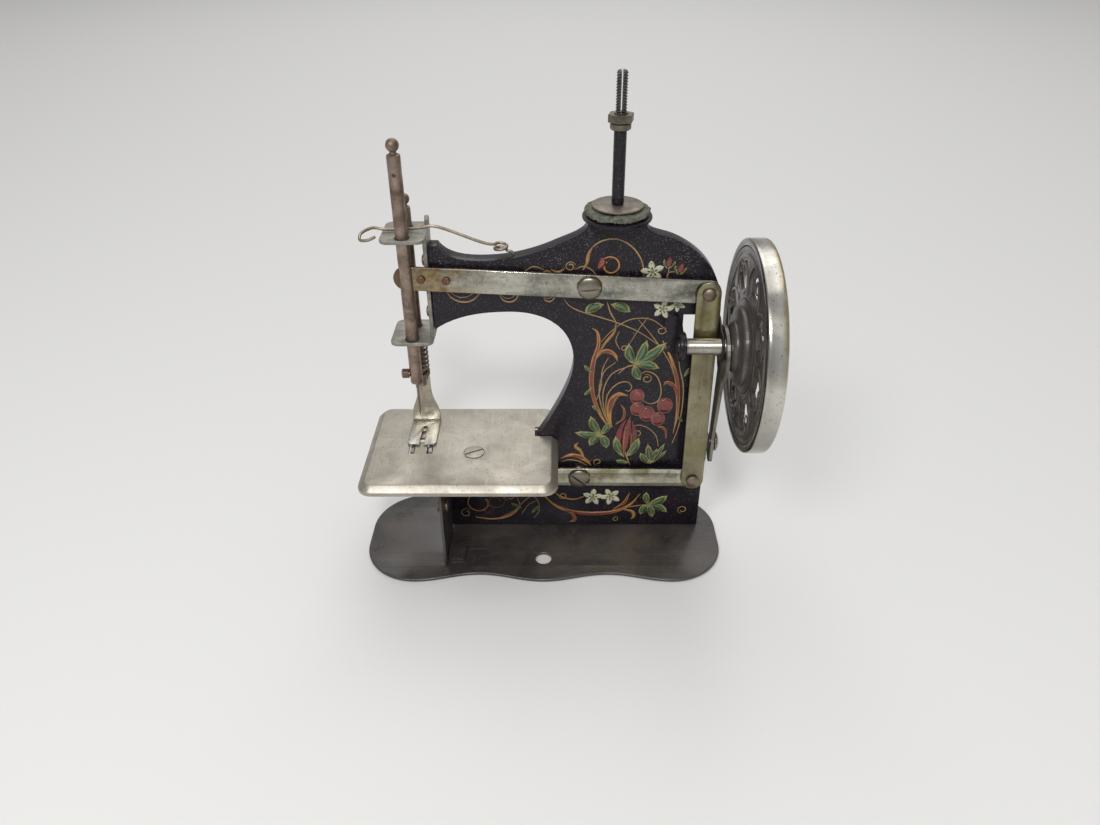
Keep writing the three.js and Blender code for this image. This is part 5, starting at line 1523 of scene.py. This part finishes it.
def ornament():
    # tall scroll at the left of the pillar
    flame([(27.6, 51.5), (24, 57), (20.8, 65), (19.4, 74), (20.1, 83), (21.8, 90), (21.3, 95.5), (19.2, 97.5)], 1.5)
    flame([(20.0, 82), (22.2, 86.4), (25.6, 87.4), (28.4, 85.6), (29.4, 83)], 1.45)
    flame([(21.6, 85.6), (24.4, 91), (27.6, 95.6), (28.3, 100)], 0.9, "gold_top")
    # the fan of fine stems that springs from its foot
    vine([(27.6, 52), (24.3, 60), (22.6, 69), (24.2, 78), (28.8, 82.6)])
    vine([(27.6, 52), (25, 60), (24.2, 69), (27.2, 77), (33.2, 80.4), (36, 81)])
    vine([(27.6, 52), (25.6, 60), (26, 67.6), (29.6, 72.6), (33.6, 73.6), (35.4, 71.4), (34.6, 69.4), (33, 69.8)])
    vine([(27.8, 52), (26.6, 59), (27.6, 64), (30.4, 67.4)], 0.7, "orange")
    flame([(28.2, 52), (26.8, 58.6), (27.8, 64.6), (30.4, 67.8), (34.2, 67.2)], 2.1)
    vine([(21.2, 64), (23.2, 71), (23.6, 79), (25.8, 84.6)], 0.45)
    flame([(29.8, 53.6), (32.6, 56), (33, 60.2), (31.4, 63)], 0.8)
    curl(31.8, 88.6, 1.7, 260, 400, 0.4)
    vine([(30.2, 88), (28.4, 92), (29.6, 96)], 0.35)
    for x, z, tx, tz in ((19.8, 78, 16.4, 81.4), (19.6, 71, 16.6, 67.6), (23.4, 60, 19.8, 62.6)):
        leaf((x, z), (tx, tz), 1.2, 0.3)
    # the leafy spray
    spray(
        (36.2, 81.4),
        ((33.4, 91), 2.9, 0.9), ((40.4, 92.4), 2.9, -0.7), ((48.2, 91.4), 3.2, -0.8),
        ((46, 79.8), 2.9, 0.8), ((38.8, 74.4), 2.8, -0.6),
    )
    vine([(36.2, 81.4), (33, 80.4), (30, 77.4)])
    # crossed trellis lines at the shoulder
    vine([(8.4, 109.8), (10.6, 106.8), (15, 104.4), (21, 102.4), (29, 99.6), (37, 95.8), (44.6, 90.4)], 0.45)
    vine([(22, 90.6), (27.4, 97), (33.4, 101), (40.4, 101.4), (45.2, 98.6), (48.4, 95)], 0.4)
    vine([(33.6, 90.4), (37, 97), (40.2, 102)], 0.34)
    vine([(36.6, 101), (43, 93), (49.4, 83), (53, 73)], 0.4)
    curl(45.6, 96.4, 1.9, 60, -360, 0.45)
    # long stroke down the right
    flame([(46.4, 92), (50.6, 83), (53.2, 74), (54.3, 65), (54.4, 57), (53.4, 49)], 1.35)
    flame([(54, 66), (52.4, 71.4), (49.4, 73.4), (48, 72)], 1.1)
    # berries and their stalks
    vine([(39, 66), (43, 63.4), (46.4, 65), (47.2, 70), (45.2, 76), (41.4, 78.4), (38.8, 77.4)])
    vine([(45.8, 64.4), (48, 63.2)], 0.45)
    curl(41.2, 75, 2.1, 110, -420, 0.42)
    for x, z, r in ((37.8, 67, 3.0), (38.2, 61, 2.9), (42.2, 58.6, 3.2), (49.2, 62.6, 3.2), (46.8, 56.2, 2.9)):
        berry(x, z, r)
    # a tall closed tulip in the middle
    vine([(36.4, 33), (34.6, 38), (33.6, 42)], 0.6)
    stroke("deep_red", [(31.8, 38.5), (31, 45), (31.8, 51), (34, 56)], [0.6, 2.6, 3.1, 2.0, 0.3])
    stroke("red", [(33.6, 37.5), (34, 45), (34.6, 51.5), (35.6, 57.5)], [0.6, 2.8, 3.6, 2.3, 0.3])
    stroke("deep_red", [(36, 38.5), (37.6, 45), (37.4, 50.5), (36.4, 55)], [0.5, 2.0, 2.6, 1.7, 0.3])
    stroke("orange_top", [(33.5, 39), (33.4, 46), (33.8, 53)], [0.15, 0.35, 0.12])
    stroke("orange_top", [(36.2, 39), (36.4, 46), (35.8, 53)], [0.15, 0.35, 0.12])
    leaf((33.8, 37), (29.8, 47.6), 2.7, 0.9)
    leaf((34.6, 37), (39.6, 47), 2.7, -0.9)
    leaf((35.8, 34.2), (30.4, 35.4), 1.9, 0.5)
    # leaves at the foot of the scroll
    spray(
        (23.8, 48.4),
        ((19.4, 57.6), 2.9, 0.8), ((13, 49.4), 2.5, 0.7), ((19.2, 42.8), 2.8, -0.6),
        ((26.4, 41.4), 2.9, 0.5), ((27.2, 54.6), 2.2, -0.5),
    )
    # gold and red scrolls above the lower lever, left
    flame([(7.4, 36.4), (11.4, 38), (15.6, 37), (18.6, 34.4), (20.2, 32.6)], 1.5)
    flame([(17.4, 35.4), (15.6, 40), (13.4, 42.4), (14.6, 44.4)], 1.2, "gold_top")
    vine([(7.6, 34.6), (11, 35.6), (15, 34.8), (18.4, 32.6)])
    curl(22.8, 34.4, 1.8, 250, -360, 0.45)
    # sprig above the lower lever, right
    spray(
        (45, 33.6),
        ((40.4, 39.2), 2.2, 0.6), ((43.4, 43.6), 2.4, 0.0), ((47.4, 41.4), 2.2, -0.4),
        ((50.4, 44), 1.5, -0.2), ((51.4, 40.4), 1.3, -0.3),
        colours=("pale", "deep_green"),
    )
    vine([(36.4, 50.6), (38.4, 53), (42.4, 52), (46.4, 48), (47.8, 42.4)], 0.4)
    curl(38.8, 49.2, 2.0, 120, 400, 0.4)
    flame([(50.6, 46.4), (50.4, 50), (48.6, 52), (46.8, 52)], 0.9)
    # shoulder of the body
    vine([(16.8, 126.4), (18.6, 130), (22.6, 132.6), (27.8, 133), (33, 130), (36.6, 124.8), (37.8, 119)], 0.6)
    curl(25.4, 122.8, 3.9, 190, -420, 0.7, "orange", 0.45, 15)
    flame([(15.4, 121.2), (16.8, 124), (17.4, 127.6), (18.8, 130.2)], 1.0, "gold_top")
    curl(10.8, 122.6, 2.0, 20, 470, 0.5)
    vine([(12.2, 121.4), (15.4, 122.6), (18.6, 121.2), (21, 118)], 0.5)
    stroke("red", [(20.8, 121.6), (22.2, 123.8), (22.4, 126)], [0.8, 2.6, 2.8, 1.2])
    stroke("orange_top", [(21, 122), (22.6, 124), (22.4, 125.6)], [0.1, 0.35, 0.1])
    for x, z, lean in ((46.6, 124, 0.6), (50.8, 121.6, 1.4)):
        vine([(46.2, 117), (46.6, 120), (x, z - 1)], 0.35, "gold")
        stroke("red", [(x - 0.2, z - 1.5), (x + 0.2 * lean, z), (x + lean * 0.6, z + 2)], [0.8, 2.4, 2.3, 0.6])
        leaf((x - 0.6, z - 2.2), (x - 1.9, z + 1.4), 0.9, 0.3)
        leaf((x, z - 2.2), (x + 2.4, z + 0.6), 0.9, -0.3)
    blossom(40.8, 120.4, 4.4, 0.5)
    curl(2.4, 119.2, 2.1, 200, -380, 0.55)
    vine([(-6, 120.8), (-2.6, 122.6), (1.2, 121.4)], 0.5)
    flame([(3.6, 121.4), (6.4, 120.4), (8.8, 121.8)], 0.8, "gold_top")
    # under the needle lever
    leaf((23.4, 107.4), (16.2, 103.8), 3.0, -0.7)
    leaf((26, 107.4), (33.6, 104.2), 3.0, 0.7)
    vine([(24.6, 108.4), (26, 104), (28.6, 99.4)], 0.5)
    blossom(45.6, 105.4, 4.0, 0.1)
    blossom(51, 107.2, 3.0, 0.9)
    # gold curls along the arm
    for x, z, r in ((-28.7, 114.9, 6.6), (-11.9, 111.9, 3.5), (2.9, 110.6, 2.0)):
        curl(x, z, r, 190, 165, 0.6, "gold", 0.05)
        curl(x - 0.3, z + 0.9, r * 0.86, 200, 130, 0.35, "gold", 0.1)
    vine([(52.6, 88), (53.8, 80), (55.8, 72), (56.2, 62), (55.4, 52), (53.4, 44)], 0.5)
    for x, z, tx, tz in ((52.2, 88.6, 55, 92), (54.2, 58, 57, 54.8), (55.8, 76, 57.4, 80)):
        leaf((x, z), (tx, tz), 1.1, -0.3)
    # the foot of the body
    for x, z, r, start, sweep in (
        (-34, 6.8, 2.6, 40, 400), (8.2, 16.4, 1.8, 200, 400), (31.2, 3.4, 1.4, 100, -380), (60.4, 8.6, 2.2, 260, -420)
    ):
        curl(x, z, r, start, sweep, 0.45)
    flame([(-30, 4.4), (-22, 3.4), (-15, 5.4), (-10.6, 10.4), (-11.6, 15.4)], 0.8, "deep_red")
    leaf((-9.8, 9.6), (-14.2, 12.4), 1.4, 0.3, "pale", "deep_green")
    leaf((-5.2, 7), (-1.6, 10.4), 1.6, 0.3, "pale", "deep_green")
    blossom(21.2, 15.6, 4.5, 0.2)
    blossom(28.8, 15.9, 4.5, 0.75)
    flame([(-1.6, 18.8), (5, 11), (13, 7.4), (22, 6.4), (31, 7.6), (37.4, 11.4), (41.6, 17.4)], 1.5)
    flame([(30, 8.4), (34.8, 12.4), (37, 18)], 1.1)
    flame([(33.8, 9), (38.4, 7.6), (39.4, 4.8), (38, 3.2)], 1.2, "gold_top")
    flame([(8.4, 9.6), (12.6, 5.6), (13.4, 2.6), (11, 1.8)], 1.3)
    vine([(3.6, 19.6), (7.6, 15.8), (13, 14.4), (17.4, 16)], 0.7, "orange")
    vine([(34, 9.6), (38.6, 10.4), (43.6, 11.4)], 0.5)
    spray(
        (45.4, 11.6),
        ((53.4, 16.4), 3.0, -0.8), ((44.2, 18.4), 2.3, 0.5), ((54, 7.2), 2.6, 0.8),
        ((47.6, 4.4), 2.6, 0.2), ((42.2, 5.8), 2.4, -0.6), ((50.6, 12.4), 1.8, 0.3),
    )
    curl(-28, 12.4, 5.4, 100, 300, 0.6, "orange", 0.35, 15)
    curl(-21, 13.2, 4.2, 60, -420, 0.6, "deep_red_line", 0.55, 17)
    curl(-14.6, 15.8, 2.4, 250, -400, 0.5, "gold", 0.6, 13)
    vine([(-19, 4.4), (-12.6, 8.4), (-8.6, 13.4), (-4, 17.6)], 0.5)
    vine([(-7.6, 18.4), (-3, 14.4), (-2, 8.4), (-4.4, 4)], 0.4)
    vine([(-2.6, 14), (-6.4, 11.6), (-9.6, 6.6)], 0.4)
    curl(-24.4, 8.6, 2.6, 300, 380, 0.45, "deep_red_line", 0.5, 13)


ornament()
PASS, PRESSED = 0.018, 0.012
for name, tone, level in LAYERS:
    lift = -(PRESSED + PASS * level)
    front_print = pressed_line("print_" + name, strokes_of[name], "xz", FACE, 1, 80, PRESSED, lift)
    finish(front_print, INKS[tone], "frame", "black_litho")
    back_print = front_print.copy()
    back_print.data = front_print.data.copy()
    back_print.name = "back_print_" + name
    bpy.context.collection.objects.link(back_print)
    back_print.parent = None
    back_print.matrix_world = Matrix.Identity(4)
    edit(back_print)
    half_way = (0, middle((FACE, FACE_BACK)) * MM, 0)
    bpy.ops.transform.resize(value=(1, -1, 1), center_override=half_way)
    bpy.ops.mesh.normals_make_consistent(inside=False)
    close()
    finish(back_print, INKS[tone], "frame", "black_litho")
